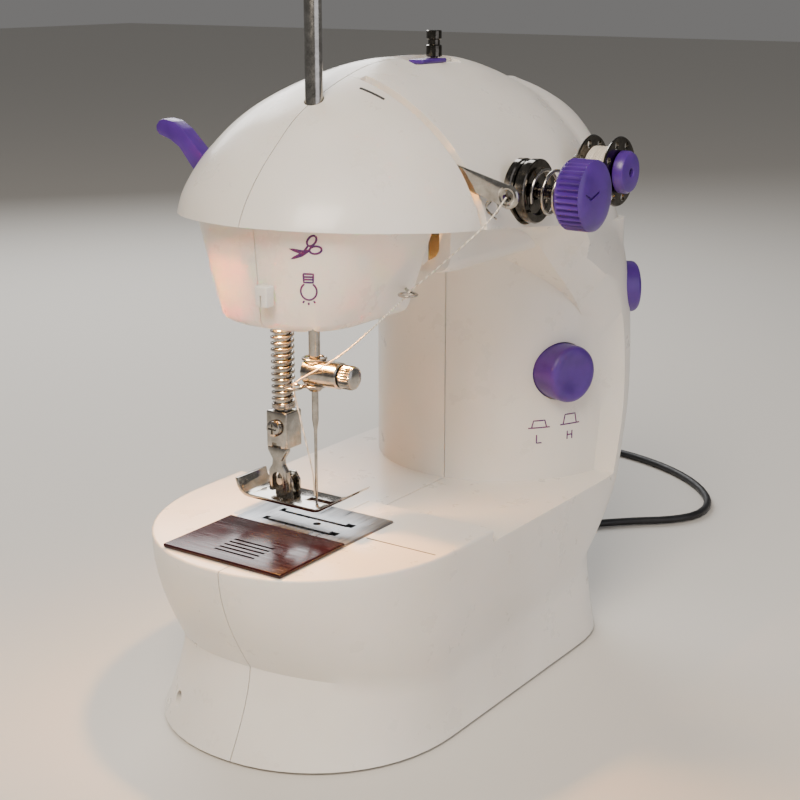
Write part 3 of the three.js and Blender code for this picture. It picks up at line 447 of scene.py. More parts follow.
def smooth(piece, angle):
    """Smooth shading with hard edges where faces meet at more than the angle."""
    bm = bmesh.new()
    bm.from_mesh(piece.data)
    limit = math.radians(angle)
    for face in bm.faces:
        face.smooth = True
    for edge in bm.edges:
        edge.smooth = len(edge.link_faces) == 2 and edge.calc_face_angle(0) < limit
    bm.to_mesh(piece.data)
    bm.free()


def finish(piece, material, body, nodes, angle):
    """Gives a piece its material, shading and place; a piece that bends rides on no body."""
    piece.data.materials.clear()
    piece.data.materials.append(material)
    smooth(piece, angle)
    if body:
        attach(piece, body)
    if nodes:
        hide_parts(*nodes)


def soften(piece):
    """A small round on every hard edge."""
    rounding = piece.modifiers.new("edge_round", "BEVEL")
    rounding.width = sizes().edge_round
    rounding.segments = 2
    rounding.limit_method = "ANGLE"
    rounding.angle_limit = math.radians(35)
    rounding.harden_normals = True


AXES = {"x": Vector((1, 0, 0)), "y": Vector((0, 1, 0)), "z": Vector((0, 0, 1))}


def turned_mesh(axis, profile, centre, steps=64):
    """Spins [radius, distance] points round an axis through the centre (millimetres)."""
    out = AXES["z"] if axis == "x" else AXES["x"]
    middle = at(*centre)
    bm = bmesh.new()
    verts = [bm.verts.new(middle + (out * r + AXES[axis] * d) * MM) for r, d in profile]
    edges = [bm.edges.new(pair) for pair in zip(verts, verts[1:]) if pair[0] != pair[1]]
    bmesh.ops.spin(
        bm, geom=verts + edges, cent=middle, axis=AXES[axis], angle=math.tau, steps=steps, use_merge=True
    )
    return bm


def turned(name, axis, profile, centre, steps=64):
    return to_object(turned_mesh(axis, profile, centre, steps), name)


def closed(profile):
    """Repeats the first point, for a ring section."""
    return profile + profile[:1]


def block_mesh(low, high, rounding=0.0):
    """A box between two corners in millimetres, with rounded edges."""
    bm = bmesh.new()
    bmesh.ops.create_cube(bm, size=1)
    low, high = at(*low), at(*high)
    bmesh.ops.scale(bm, vec=high - low, verts=bm.verts)
    bmesh.ops.translate(bm, vec=(high + low) / 2, verts=bm.verts)
    if rounding:
        bmesh.ops.bevel(
            bm, geom=bm.edges[:], offset=rounding * MM, segments=3, profile=0.5, affect="EDGES", material=-1
        )
    return bm


def block(name, low, high, rounding=0.0):
    return to_object(block_mesh(low, high, rounding), name)


def pushed(name, outline, depth, rounding=0.0):
    """A closed outline of places in millimetres, extruded by a depth vector."""
    bm = bmesh.new()
    face = bm.faces.new([bm.verts.new(at(*p)) for p in outline])
    result = bmesh.ops.extrude_face_region(bm, geom=[face])
    moved = [e for e in result["geom"] if isinstance(e, bmesh.types.BMVert)]
    bmesh.ops.translate(bm, vec=Vector(depth) * MM, verts=moved)
    if rounding:
        bmesh.ops.bevel(
            bm, geom=bm.edges[:], offset=rounding * MM, segments=2, profile=0.5, affect="EDGES", material=-1
        )
    return to_object(bm, name)


def boolean(target, tool, operation):
    """Joins, cuts or intersects the target with a tool, which is used up."""
    cutter = target.modifiers.new("cut", "BOOLEAN")
    cutter.operation = operation
    cutter.solver = "MANIFOLD"
    cutter.object = tool
    depsgraph = bpy.context.evaluated_depsgraph_get()
    made = bpy.data.meshes.new_from_object(target.evaluated_get(depsgraph))
    target.modifiers.clear()
    target.data = made
    bpy.data.objects.remove(tool)
    return target


def duplicate(piece, name):
    return linked(name, piece.data.copy())


def keep_largest(piece):
    """Drops the slivers that a cut leaves."""
    bm = bmesh.new()
    bm.from_mesh(piece.data)
    unseen = set(bm.verts)
    islands = []
    while unseen:
        stack, island = [unseen.pop()], []
        while stack:
            vert = stack.pop()
            island.append(vert)
            for edge in vert.link_edges:
                other = edge.other_vert(vert)
                if other in unseen:
                    unseen.discard(other)
                    stack.append(other)
        islands.append(island)
    islands.sort(key=len)
    for island in islands[:-1]:
        bmesh.ops.delete(bm, geom=island, context="VERTS")
    bm.to_mesh(piece.data)
    bm.free()


def wire_mesh(name, points, radius, cyclic=False):
    """Round wire along points in millimetres, as a mesh."""
    curve = bpy.data.curves.new(name, "CURVE")
    curve.dimensions = "3D"
    curve.bevel_depth = radius * MM
    curve.bevel_resolution = 3
    curve.use_fill_caps = True
    line = curve.splines.new("POLY")
    line.points.add(len(points) - 1)
    for place, p in zip(line.points, points):
        place.co = (*at(*p), 1)
    line.use_cyclic_u = cyclic
    drawn = linked(name, curve)
    depsgraph = bpy.context.evaluated_depsgraph_get()
    mesh = bpy.data.meshes.new_from_object(drawn.evaluated_get(depsgraph))
    bpy.data.objects.remove(drawn)
    return linked(name, mesh)


def smooth_line(points, steps):
    """Places along a smooth line through the given ones, with steps from each to the next."""
    columns = list(zip(*points))
    count = (len(points) - 1) * steps
    return [tuple(curve_through(column, i / steps) for column in columns) for i in range(count + 1)]


def helix(centre, axis, radius, start, end, turns, closed_turns, steps):
    """Places along a spring; closed_turns sit at a fifth of their pitch at each end."""
    squeeze = 0.8
    places = []
    count = int(turns * steps)
    for i in range(count + 1):
        angle = i / steps * math.tau
        t = i / count
        if closed_turns:
            edge = closed_turns / turns
            tight = edge * squeeze
            passed = min(1, t / edge) + max(0, (t - 1 + edge) / edge)
            t = (t - tight * passed) / (1 - 2 * tight)
        along = mix(start, end, t)
        a, b = radius * math.cos(angle), radius * math.sin(angle)
        x, y, z = centre
        places.append((x + a, y + along, z + b) if axis == "y" else (x + a, y + b, z + along))
    return places


def joined(name, pieces):
    """Several meshes as one piece."""
    bm = bmesh.new()
    for piece in pieces:
        bm.from_mesh(piece.data)
        bpy.data.objects.remove(piece)
    return from_bmesh(bm, name)


def surface_of(name):
    """A finished piece's surface, to cast rays at."""
    return BVHTree.FromObject(bpy.data.objects[name], bpy.context.evaluated_depsgraph_get())


def knurl(bm, middle, count, depth, start, end):
    """Presses ribs into the side of a piece turned about y, between two distances."""
    for vert in bm.verts:
        along = (vert.co.y - middle.y) / MM
        offset = vert.co - middle
        angle = math.atan2(offset.z, offset.x)
        if start <= along <= end:
            pull = 1 - depth * (0.5 + 0.5 * math.cos(angle * count))
            vert.co.x = middle.x + offset.x * pull
            vert.co.z = middle.z + offset.z * pull


# ---- casing shapes -------------------------------------------------------------------


def plan(shape, inset=0.0, count=30):
    """A plan outline with a super-elliptic left and right end, in millimetres."""
    left, right = shape["left"] + inset, shape["right"] - inset
    half = max(shape["half"] - inset, 0.4)
    points = []
    ends = (
        (shape["right_from"], right - shape["right_from"], shape["right_power"], -math.pi / 2),
        (shape["left_from"], shape["left_from"] - left, shape["left_power"], math.pi / 2),
    )
    for centre, reach, power, start in ends:
        for i in range(count):
            turn = start + i / (count - 1) * math.pi
            c, s = math.cos(turn), math.sin(turn)
            x = math.copysign(abs(c) ** (2 / power), c) * reach
            y = math.copysign(abs(s) ** (2 / power), s) * half
            points.append((centre + x, shape["middle"] + y))
    return points


def outline(middle, left, left_from, right, right_from, half, left_power, right_power):
    return {
        "middle": middle, "left": left, "left_from": left_from, "right": right,
        "right_from": right_from, "half": half, "left_power": left_power, "right_power": right_power,
    }


def mix_outline(a, b, t):
    return {key: mix(a[key], b[key], t) for key in a}


def loft(name, rings):
    """Bridges rings of places, bottom to top, and closes both ends."""
    bm = bmesh.new()
    loops = []
    for ring in rings:
        verts = [bm.verts.new(at(*p)) for p in ring]
        loops.append([bm.edges.new((a, b)) for a, b in zip(verts, verts[1:] + verts[:1])])
    for low, high in zip(loops, loops[1:]):
        bmesh.ops.bridge_loops(bm, edges=low + high)
    for loop in (loops[0], loops[-1]):
        bmesh.ops.edgeloop_fill(bm, edges=loop)
    bmesh.ops.recalc_face_normals(bm, faces=bm.faces[:])
    bmesh.ops.triangulate(bm, faces=[f for f in bm.faces if len(f.verts) > 4])
    return from_bmesh(bm, name)


SKIRT = outline(TABLE_MIDDLE, -107.3, -60, 46, 12, 45.8, 2.1, 3)
WAIST = outline(TABLE_MIDDLE, -97.5, -57, 44, 12, 42.6, 2.1, 3)
TABLE = outline(TABLE_MIDDLE, -109.5, -58, 58, 24, TABLE_HALF, 2.1, 3)
COLUMN = outline(5, -0.3, 46, 56, 46, 42, 2, 2)
TIER = outline(5, -52, -40, 30, 10, 38, 4, 2)
LAMP_LOW = outline(1, -89, -70, -38, -46, 20.5, 2.6, 4)
LAMP_HIGH = outline(1, -91.5, -66, -34, -46, 31, 2.6, 4)


def spine_level(z, right, front, back, power=3.0):
    shape = outline((front + back) / 2, 8, 14, right, right - 32, (back - front) / 2, 6, power)
    return z, shape


SPINE = [
    spine_level(LOWER_Z - 6, 55, -42.6, 49.8),
    spine_level(LOWER_Z, 57, -43, 50.2),
    spine_level(75, 63.5, -42.4, 54),
    spine_level(95, 66, -41.2, 57),
    spine_level(115, 65, -40, 56),
    spine_level(130, 63, -38, 52, 2.8),
    spine_level(142, 61.5, -35.5, 47, 2.6),
    spine_level(153, 60, -32.5, 42, 2.4),
    spine_level(162, 58, -28, 36, 2.3),
    spine_level(169, 55, -21.5, 30, 2.2),
    spine_level(174, 50.5, -13, 22, 2),
    spine_level(177, 44, -3, 11, 2),
]


def dome_level(z, left, left_from, right_from, right, front, back):
    shape = outline((front + back) / 2, left, left_from, right, right_from, (back - front) / 2, 2.05, 2.1)
    return z, shape


DOME = [
    dome_level(112, -98, -48, -5, 50, -38, 46),
    dome_level(TIER_Z, -98, -48, -5, 56, -43, 47),
    dome_level(RIM_Z - 5, -98, -48, -5, 57, -43.4, 47),
    dome_level(RIM_Z, -97.2, -48, -5, 56, -42.8, 46.4),
    dome_level(153, -94.2, -48, -5, 54, -40.4, 45),
    dome_level(160, -88.5, -46, -5, 51, -36.4, 42),
    dome_level(167, -80.8, -43, -6, 46, -30.4, 37.5),
    dome_level(173, -73, -40, -8, 40, -23.6, 31.5),
    dome_level(178, -63, -37, -12, 31, -16.4, 24.5),
    dome_level(182, -52, -34, -16, 20, -9.4, 17),
    dome_level(184.7, -42, -31, -18, 8, -3.4, 10.5),
    dome_level(TOP_Z, -33, -28, -20, -6, 1, 5.5),
]

# The edge of the C-shaped casing seen from the front: rim (x, z) and inner edge (x, z).
RIM_LINE = [
    ((-96, RIM_Z), (-96, RIM_Z)),
    ((-50, 144), (-50, 144)),
    ((-16, 140.6), (-16, 139)),
    ((0, 138.4), (-4, 134)),
    ((17, 132.6), (8, 124)),
    ((32, 121.8), (22, 112)),
    ((40.5, 110), (29.5, 101)),
    ((43, 96), (33, 88)),
    ((41, 75), (34.5, 72)),
    ((34.5, LOWER_Z), (34, LOWER_Z)),
]
MOUTH_DEPTH = 9


def curve_through(values, t):
    """Catmull-Rom value at t along a list of numbers."""
    i = min(int(t), len(values) - 2)
    u = t - i
    a, b, c, d = (values[max(0, min(len(values) - 1, i + k))] for k in (-1, 0, 1, 2))
    return b + 0.5 * u * (c - a + u * (2 * a - 5 * b + 4 * c - d + u * (3 * (b - c) + d - a)))


def layered(name, levels, inset, between=4):
    """A smooth pile of outlines, pulled in by the wall thickness."""
    rings = []
    count = len(levels) - 1
    for step in range(count * between + 1):
        t = step / between
        z = curve_through([level[0] for level in levels], t)
        shape = {key: curve_through([level[1][key] for level in levels], t) for key in levels[0][1]}
        height = z - inset * (1 if t == 0 else min(1, t / 4))
        rings.append([(x, y, height) for x, y in plan(shape, inset)])
    return loft(name, rings)


def crease_height(x):
    """The crease between skirt and bowl, which rises toward both ends."""
    return 17 + 8.5 * max(0, (-45 - x) / 52) ** 1.5 + 11 * max(0, (x + 20) / 50) ** 1.4


def base_solid(inset):
    """The boat-shaped base: skirt, crease, bowl and raised table."""
    rings = []
    bottom = 0.8 - (2 if inset else 0)
    round_off = 0 if inset else 0.9
    for t in [0, 0.01, 0.1, 0.25, 0.4, 0.55, 0.7, 0.85, 1]:
        shape = mix_outline(SKIRT, WAIST, 1 - (1 - t) ** 1.6)
        tuck = round_off if t == 0 else 0
        rings.append([(x, y, mix(bottom, crease_height(x), t)) for x, y in plan(shape, inset + tuck)])
    top = TABLE_Z - inset
    for t in [0.1, 0.2, 0.32, 0.45, 0.6, 0.75, 0.88, 0.975]:
        shape = mix_outline(WAIST, TABLE, 1 - (1 - t) ** 2)
        rings.append([(x, y, mix(crease_height(x), top, t)) for x, y in plan(shape, inset)])
    for tuck, drop in ((0.1, 0.45), (0.3, 0.2), (0.55, 0.06), (0.9, 0)):
        shift = 0 if inset else tuck
        rings.append([(x, y, top - (0 if inset else drop)) for x, y in plan(TABLE, inset + shift)])
    if inset:
        rings = rings[:-3]
    whole = loft("base", rings)
    step = block("step", (STEP_X + inset * 0.4, -100, LOWER_Z - inset), (200, 100, 100))
    return boolean(whole, step, "DIFFERENCE")


def mouth_line(side, inset):
    """The rim line in x and z, moved outward by the wall, with the far end closed."""
    xs = [pair[side][0] for pair in RIM_LINE]
    zs = [pair[side][1] for pair in RIM_LINE]
    count = (len(xs) - 1) * 4
    line = [(curve_through(xs, i / 4), curve_through(zs, i / 4)) for i in range(count + 1)]
    moved = []
    for i, (x, z) in enumerate(line):
        ax, az = line[max(0, i - 1)]
        bx, bz = line[min(count, i + 1)]
        length = math.hypot(bx - ax, bz - az)
        moved.append((x - (bz - az) / length * inset, z + (bx - ax) / length * inset))
    past_the_end = -149.5
    return [(past_the_end, LOWER_Z), (past_the_end, moved[0][1])] + moved + [(moved[-1][0], LOWER_Z - inset)]


def mouth_cutter(inset):
    """The throat of the C, rolled over where it meets the front and the back."""
    front, back = TABLE_MIDDLE - TABLE_HALF + 1, TABLE_MIDDLE + TABLE_HALF - 1
    slices = [(front - 60, 0), (front, 0), (front + 1.5, 0.1), (front + MOUTH_DEPTH - 2, 0.85)]
    slices += [(front + MOUTH_DEPTH, 1), (back - MOUTH_DEPTH, 1), (back - MOUTH_DEPTH + 2, 0.85)]
    slices += [(back - 1.5, 0.1), (back, 0), (back + 60, 0)]
    rim, inner = mouth_line(0, inset), mouth_line(1, inset)
    rings = []
    for y, t in slices:
        rings.append([(mix(a[0], b[0], t), y, mix(a[1], b[1], t)) for a, b in zip(rim, inner)])
    whole = loft("mouth", rings)
    below = block("below", (-400, -200, LOWER_Z - 10), (STEP_X, 200, TABLE_Z))
    return boolean(whole, below, "DIFFERENCE")


def lamp_box(inset):
    """The part of the head that hangs over the needle and holds the lamp."""
    rings = []
    for t, tuck in ((0, 2.6), (0.004, 1.5), (0.03, 0.5), (0.08, 0), (0.3, 0), (0.6, 0), (1, 0)):
        shape = mix_outline(LAMP_LOW, LAMP_HIGH, t)
        z = LAMP_BOX_Z + t * (148 - LAMP_BOX_Z) + (inset if t < 0.2 else 0)
        rings.append([(x, y, z) for x, y in plan(shape, inset + tuck)])
    end = block("end", (HEAD_CUT_X - inset, -60, 100), (0, 60, TIER_Z + inset))
    return boolean(loft("lamp_box", rings), end, "DIFFERENCE")


def straight_pile(name, shape, levels, inset):
    """One outline at several heights, pulled in by a little at each."""
    return loft(name, [[(x, y, z) for x, y in plan(shape, inset + tuck, 48)] for z, tuck in levels])


def casing_solid(inset):
    """The outer casing, or its hollow when the inset is the wall thickness."""
    whole = boolean(base_solid(inset), layered("spine", SPINE, inset), "UNION")
    boolean(whole, layered("dome", DOME, inset), "UNION")
    boolean(whole, mouth_cutter(inset), "DIFFERENCE")
    reach = 8 if inset else 0.5
    boolean(whole, straight_pile("column", COLUMN, [(LOWER_Z - reach, 0), (TIER_Z + 4, 0)], inset), "UNION")
    tier = [(TIER_Z + rise + inset, tuck) for rise, tuck in ((0, 3), (1, 1.2), (2.4, 0.4), (4, 0))]
    boolean(whole, straight_pile("tier", TIER, tier + [(147, 0)], inset), "UNION")
    return boolean(whole, lamp_box(inset), "UNION")


BUTTON = {"at": (20.8, -29.4, 88.8), "turn": -0.35, "radius": 9}
POWER = {"at": (52, -33.5, 111), "turn": 0.73, "radius": 8.2}


def swung(piece, place):
    """Turns a piece about the upright line through its place."""
    centre = Matrix.Translation(at(*place["at"]))
    piece.data.transform(centre @ Matrix.Rotation(place["turn"], 4, "Z") @ centre.inverted())
    return piece


def rod(name, axis, radius, start, end, centre, steps=48):
    return turned(name, axis, [(0, start), (radius, start), (radius, end), (0, end)], centre, steps)


def casing_openings():
    """Every hole through the casing, as solids to cut away."""
    fit = 0.3
    yield block("lamp_opening", (-85, -14, LAMP_BOX_Z - 5), (-57, 20.6, LAMP_BOX_Z + 6))
    yield rod("pole_hole", "z", 2.7, 166, 200, (POLE_X, 0, 0))
    yield block("lifter_slot", (-71, 30, 143), (-62.5, 60, 178))
    yield rod("stud_hole", "y", 2.6, -60, -30, (TENSION[0], 0, TENSION[1]))
    yield rod("disc_seat", "y", 9.4, -60, -40.2, (TENSION[0], 0, TENSION[1]))
    yield rod("pin_hole", "y", 2.2, -60, -25, (SPOOL[0], 0, SPOOL[1]))
    for place in (BUTTON, POWER):
        yield swung(rod("button_hole", "y", place["radius"] + fit, -30, 12, place["at"]), place)
    yield rod("shaft_hole", "x", 2.8, 45, 90, (0, *SHAFT))
    yield rod("inlet_hole", "x", 4.5, 30, 70, (0, *PLUG))
    yield block("winder_slot", (-13, -1.6, 170), (-2, 1.6, 190))
    yield block("winder_recess", (-24, -5, WINDER_Z - 0.1), (1.5, 5, 200))
    yield block("plate_recess", (-75.9, -16.8, PLATE_SEAT_Z), (-51.7, 23.8, 80))
    yield block("hook_well", (-97, -11, 48), (-55, 20, 80))
    yield rod("screw_recess", "x", 1.8, -120, -92, (0, 28, 8))


def casing_bosses(outer):
    """Thickened seats behind the tension dial and the bobbin winder."""
    seats = [
        rod("tension_boss", "y", 11, -50, -36.6, (TENSION[0], 0, TENSION[1])),
        block("winder_boss", (-27, -8, WINDER_Z - 2.4), (4.5, 8, WINDER_Z)),
    ]
    for seat in seats:
        yield boolean(seat, duplicate(outer, "envelope"), "INTERSECT")


# ---- operators -----------------------------------------------------------------------


class StageOperator(bpy.types.Operator):
    """Camera, floor and soft studio light"""

    bl_idname = "machine.stage"
    bl_label = "Stage"

    def execute(self, context):
        camera_data = bpy.data.cameras.new("camera")
        camera_data.lens = 70.2
        camera_data.sensor_width = 36
        camera_data.clip_start = 0.01
        camera = linked("camera", camera_data)
        camera.location = at(-397.7, -257.2, 211.5)
        right = Vector((0.5678, -0.8231, 0.0)).normalized()
        forward = Vector((0.7928, 0.5469, -0.2689)).normalized()
        up = right.cross(forward).normalized()
        right = forward.cross(up)
        camera.rotation_euler = Matrix((right, up, -forward)).transposed().to_euler()
        context.scene.camera = camera

        bm = bmesh.new()
        bmesh.ops.create_grid(bm, x_segments=1, y_segments=1, size=4)
        floor = to_object(bm, "floor")
        floor.data.materials.append(floor_paper())

        self.light("key", (-640, -230, 760), 0.42, 10.0, "#FFF1E0")
        self.light("fill", (-120, -820, 330), 0.8, 2.2, "#F4F4FF")
        self.light("back", (420, 560, 560), 0.5, 5.0, "#FFFFFF")
        world = bpy.data.worlds.new("studio")
        world.use_nodes = True
        background = world.node_tree.nodes["Background"]
        background.inputs["Color"].default_value = linear("#D8D6D4")
        background.inputs["Strength"].default_value = 0.26
        context.scene.world = world
        return {"FINISHED"}

    def light(self, name, place, size, power, colour):
        """A square soft light aimed at the middle of the machine."""
        lamp = bpy.data.lights.new(name, "AREA")
        lamp.size = size
        lamp.energy = power
        lamp.color = linear(colour)[:3]
        source = linked(name, lamp)
        source.location = at(*place)
        aim = at(-20, 0, 95) - source.location
        source.rotation_euler = aim.to_track_quat("-Z", "Y").to_euler()


class PowerLeadOperator(bpy.types.Operator):
    """Power lead, its stored coil, its plug and its adapter"""

    bl_idname = "machine.power_lead"
    bl_label = "Power Lead"

    def execute(self, context):
        low = CORD_R + 0.2
        lead = [
            (84.7, 20, 21), (93, 19.6, 16.5), (101, 16, 7), (109, 11, low), (118, 4, low), (128, -6, low),
            (138, -17, low), (150, -23, low), (166, -20, low), (182, -8, low), (195, 10, low),
            (203.5, 32, low), (206.8, 55, low),
        ]
        to_adapter = [(COIL_X, 92, 11.1), (COIL_X, 97, 11.4), (COIL_X, 101, 12)]
        path = smooth_line(lead, 3) + self.coil() + to_adapter
        places = [at(*p) for p in path]
        length = sum((b - a).length for a, b in zip(places, places[1:]))
        piece = wire_mesh("power_lead_cord", path, CORD_R)
        black = black_pvc_moulded()
        finish(piece, black, "casing", ("power_lead", "lead_coil"), 60)
        band = [(COIL_X + 18 + 6.6 * math.cos(a), COIL_Y, 5.0 + 4.7 * math.sin(a)) for a in circle_angles(24)]
        tie = wire_mesh("lead_tie", band, 0.35, cyclic=True)
        finish(tie, black, "casing", (), 60)
        barrel = [(0, 45), (4.2, 45), (4.2, 56), (4.6, 56), (5.2, 56.6), (5.2, 65), (4.9, 66.5)]
        rings = 12
        for i in range(rings + 1):
            ridge = 0.25 if i % 2 else -0.25
            barrel.append((mix(4.4, 2.4, i / rings) + ridge, mix(67, 83, i / rings)))
        plug = turned("power_plug_body", "x", barrel + [(1.9, 84), (0, 84)], (0, *PLUG), 32)
        finish(plug, black, "casing", ("power_plug",), 50)
        adapter = block("wall_adapter_body", (168, 101.3, 0.2), (196, 143.3, 26), 2.2)
        finish(adapter, black, "casing", ("wall_adapter",), 40)
        return {"FINISHED"}

    def coil(self):
        """Eight turns in three layers, wound in and out."""
        places = []
        steps = 32
        angle = 0.0
        layers = ((1.7, 21.2, 14.9, 3), (4.8, 14.9, 21.2, 3), (7.9, 21.2, 16.0, 2))
        for z, start, end, turns in layers:
            for i in range(turns * steps):
                t = i / (turns * steps)
                radius = mix(start, end, t)
                rise = min(1.0, i / 10) if z > layers[0][0] else 1.0
                height = mix(z - COIL_LAYER, z, rise)
                places += [(x, y, height) for x, y in round_places(COIL_X, COIL_Y, radius, [angle])]
                angle += math.tau / steps
        for i in range(9):
            height = mix(7.9, 11.1, i / 8)
            places += [(x, y, height) for x, y in round_places(COIL_X, COIL_Y, 16, [angle])]
            angle += math.tau / steps
        return places


class CasingOperator(bpy.types.Operator):
    """White casing: front shell, rear shell and head cover"""

    bl_idname = "machine.casing"
    bl_label = "Casing"

    def execute(self, context):
        outer = casing_solid(0)
        seats = list(casing_bosses(outer))
        hollow = boolean(outer, casing_solid(WALL), "DIFFERENCE")
        for seat in seats:
            boolean(hollow, seat, "UNION")
        for opening in casing_openings():
            boolean(hollow, opening, "DIFFERENCE")
        half = SEAM_GAP / 2
        white = abs_white_moulded()
        front_side = block("front_side", (-130, -80, -5), (100, -half, 200))
        front = boolean(duplicate(hollow, "casing_front"), front_side, "INTERSECT")
        rear = boolean(hollow, block("rear_side", (-130, half, -5), (100, 80, 200)), "INTERSECT")
        rear.name = "casing_rear"
        slot_cut = ((HEAD_CUT_X - half, -70, 100), (HEAD_CUT_X + SLOT_WIDTH, -4, 200))
        boolean(front, block("slot", *slot_cut), "DIFFERENCE")
        head_zone = block("head_zone", (-130, -70, TABLE_Z + 20), (HEAD_CUT_X, 0, 200))
        head = boolean(duplicate(front, "casing_head"), head_zone, "INTERSECT")
        head_cut = block("head_cut", (-130, -70, TABLE_Z + 19), (HEAD_CUT_X + half, half, 200))
        boolean(front, head_cut, "DIFFERENCE")
        for piece, node in ((front, "front_shell"), (rear, "rear_shell"), (head, "head_cover")):
            keep_largest(piece)
            finish(piece, white, "casing", (node,), 32)
        self.painted_shade_lines()
        return {"FINISHED"}

    def painted_shade_lines(self):
        """Painted shade: black lines laid on the casing for the shade in the guide groove in the table in
        front of the needle, and in a slit in the head's top.
        """
        # painted shade: a black line on the table stands for the shade inside the guide groove
        groove = [(-66.8, -17.6, TABLE_Z + 0.02), (-66.8, -40.6, TABLE_Z + 0.02)]
        line = wire_mesh("table_groove_painted_shade", groove, 0.16)
        finish(line, black_pvc_moulded(), "casing", (), 60)
        head = surface_of("casing_head")
        slit = []
        for i in range(9):
            above = at(mix(-54.0, -53.2, i / 8), mix(-7.1, -14.4, i / 8), 200)
            hit = head.ray_cast(above, Vector((0, 0, -1)))
            slit.append(from_seam(hit[0]) - Vector((0, 0, 0.3)))
        # painted shade: a black line sunk a little into the head stands for the shade inside the slit
        finish(wire_mesh("head_slit_painted_shade", slit, 0.55), black_pvc_moulded(), "casing", (), 60)


class TablePlatesOperator(bpy.types.Operator):
    """Slide plate and needle plate with its feed slots"""

    bl_idname = "machine.table_plates"
    bl_label = "Table Plates"

    def execute(self, context):
        low, high = TABLE_Z + 0.1, TABLE_Z + 1.3
        plate = block("slide_plate_cover", (-104.5, -17, low), (-76, 24, high), 0.4)
        for i in range(5):
            x = -99.6 + i * 2.1
            boolean(plate, block("grip", (x, -4, high - 0.5), (x + 0.9, 10, high + 1)), "DIFFERENCE")
        finish(plate, smoked_styrene(), "slide_plate", ("slide_plate",), 40)
        sheet = block("needle_plate_sheet", (-75.6, -16.5, 55.8), (-52, 23.5, TABLE_Z + 0.5), 0.3)
        for x0, x1 in ((-71.7, -69.1), (-63.9, -61.3)):
            boolean(sheet, block("feed_slot", (x0, -10.2, 50), (x1, 16.2, 70)), "DIFFERENCE")
        boolean(sheet, rod("needle_hole", "z", 1.2, 50, 70, (*NEEDLE, 0)), "DIFFERENCE")
        finish(sheet, brushed_steel_sheet(), "casing", ("needle_plate",), 40)
        return {"FINISHED"}


class NeedleOperator(bpy.types.Operator):
    """Needle bar, clamp with its wire rings, thumb screw and needle"""

    bl_idname = "machine.needle"
    bl_label = "Needle"

    def execute(self, context):
        nickel = nickel_plated_steel()
        x, y = NEEDLE
        clamp = turned(
            "needle_clamp_block", "y",
            [(0, -9.5), (3.3, -9.5), (3.7, -9.1), (3.7, 2.2), (3.3, 2.6), (0, 2.6)], (x, 0, CLAMP_Z), 48,
        )
        rings = [
            self.ring(CLAMP_RING, 2.65, 0.42),
            wire_mesh("arm", [(-69.6, 2.7, 98.6), (-68.6, 0.6, 98.9), (x, -1.5, 99)], 0.42),
            self.ring((x, 0, 99.0), 3.2, 0.4),
            self.ring((x, 0, 106.6), 3.2, 0.4),
        ]
        neck = turned("neck", "z", [(0, 97.4), (1.7, 97.4), (2.4, 98.2), (2.4, 100), (0, 100)], (x, y, 0), 32)
        piece = joined("needle_clamp_body", [clamp, neck, *rings])
        finish(piece, nickel, "needle_bar", ("needle_clamp",), 40)
        bar = turned(
            "needle_bar_rod", "z",
            [(0, 100.5), (1.6, 100.5), (1.6, 157.6), (1.2, 158), (0, 158)], (x, y, 0), 32,
        )
        finish(bar, nickel, "needle_bar", ("needle_bar",), 40)
        screw = turned_mesh(
            "y",
            [(0, -14.2), (2.4, -14.2), (3.1, -13.7), (3.4, -13.1), (3.4, -10.6), (3.0, -9.9), (0, -9.7)],
            (x, 0, CLAMP_Z), 120,
        )
        knurl(screw, at(x, 0, CLAMP_Z), 24, 0.13, -13.6, -10.2)
        thumb_screw = to_object(screw, "clamp_thumb_screw")
        finish(thumb_screw, nickel, "needle_bar", ("clamp_screw",), 45)
        tip = 61.5
        blade = [(0, tip), (0.12, tip + 0.6), (0.42, tip + 4), (0.46, 84), (0.5, 86)]
        needle = turned("needle_steel", "z", blade + [(0.95, 89), (0.95, 98), (0, 98)], (x, y, 0), 24)
        boolean(needle, rod("eye", "x", 0.16, -68, -65, (0, y, tip + 5), 12), "DIFFERENCE")
        finish(needle, nickel, "needle_bar", ("needle",), 40)
        return {"FINISHED"}

    def ring(self, place, radius, thickness):
        """A level ring of wire."""
        x, y, z = place
        points = [(a, b, z) for a, b in round_places(x, y, radius, circle_angles(32))]
        return wire_mesh("ring", points, thickness, cyclic=True)


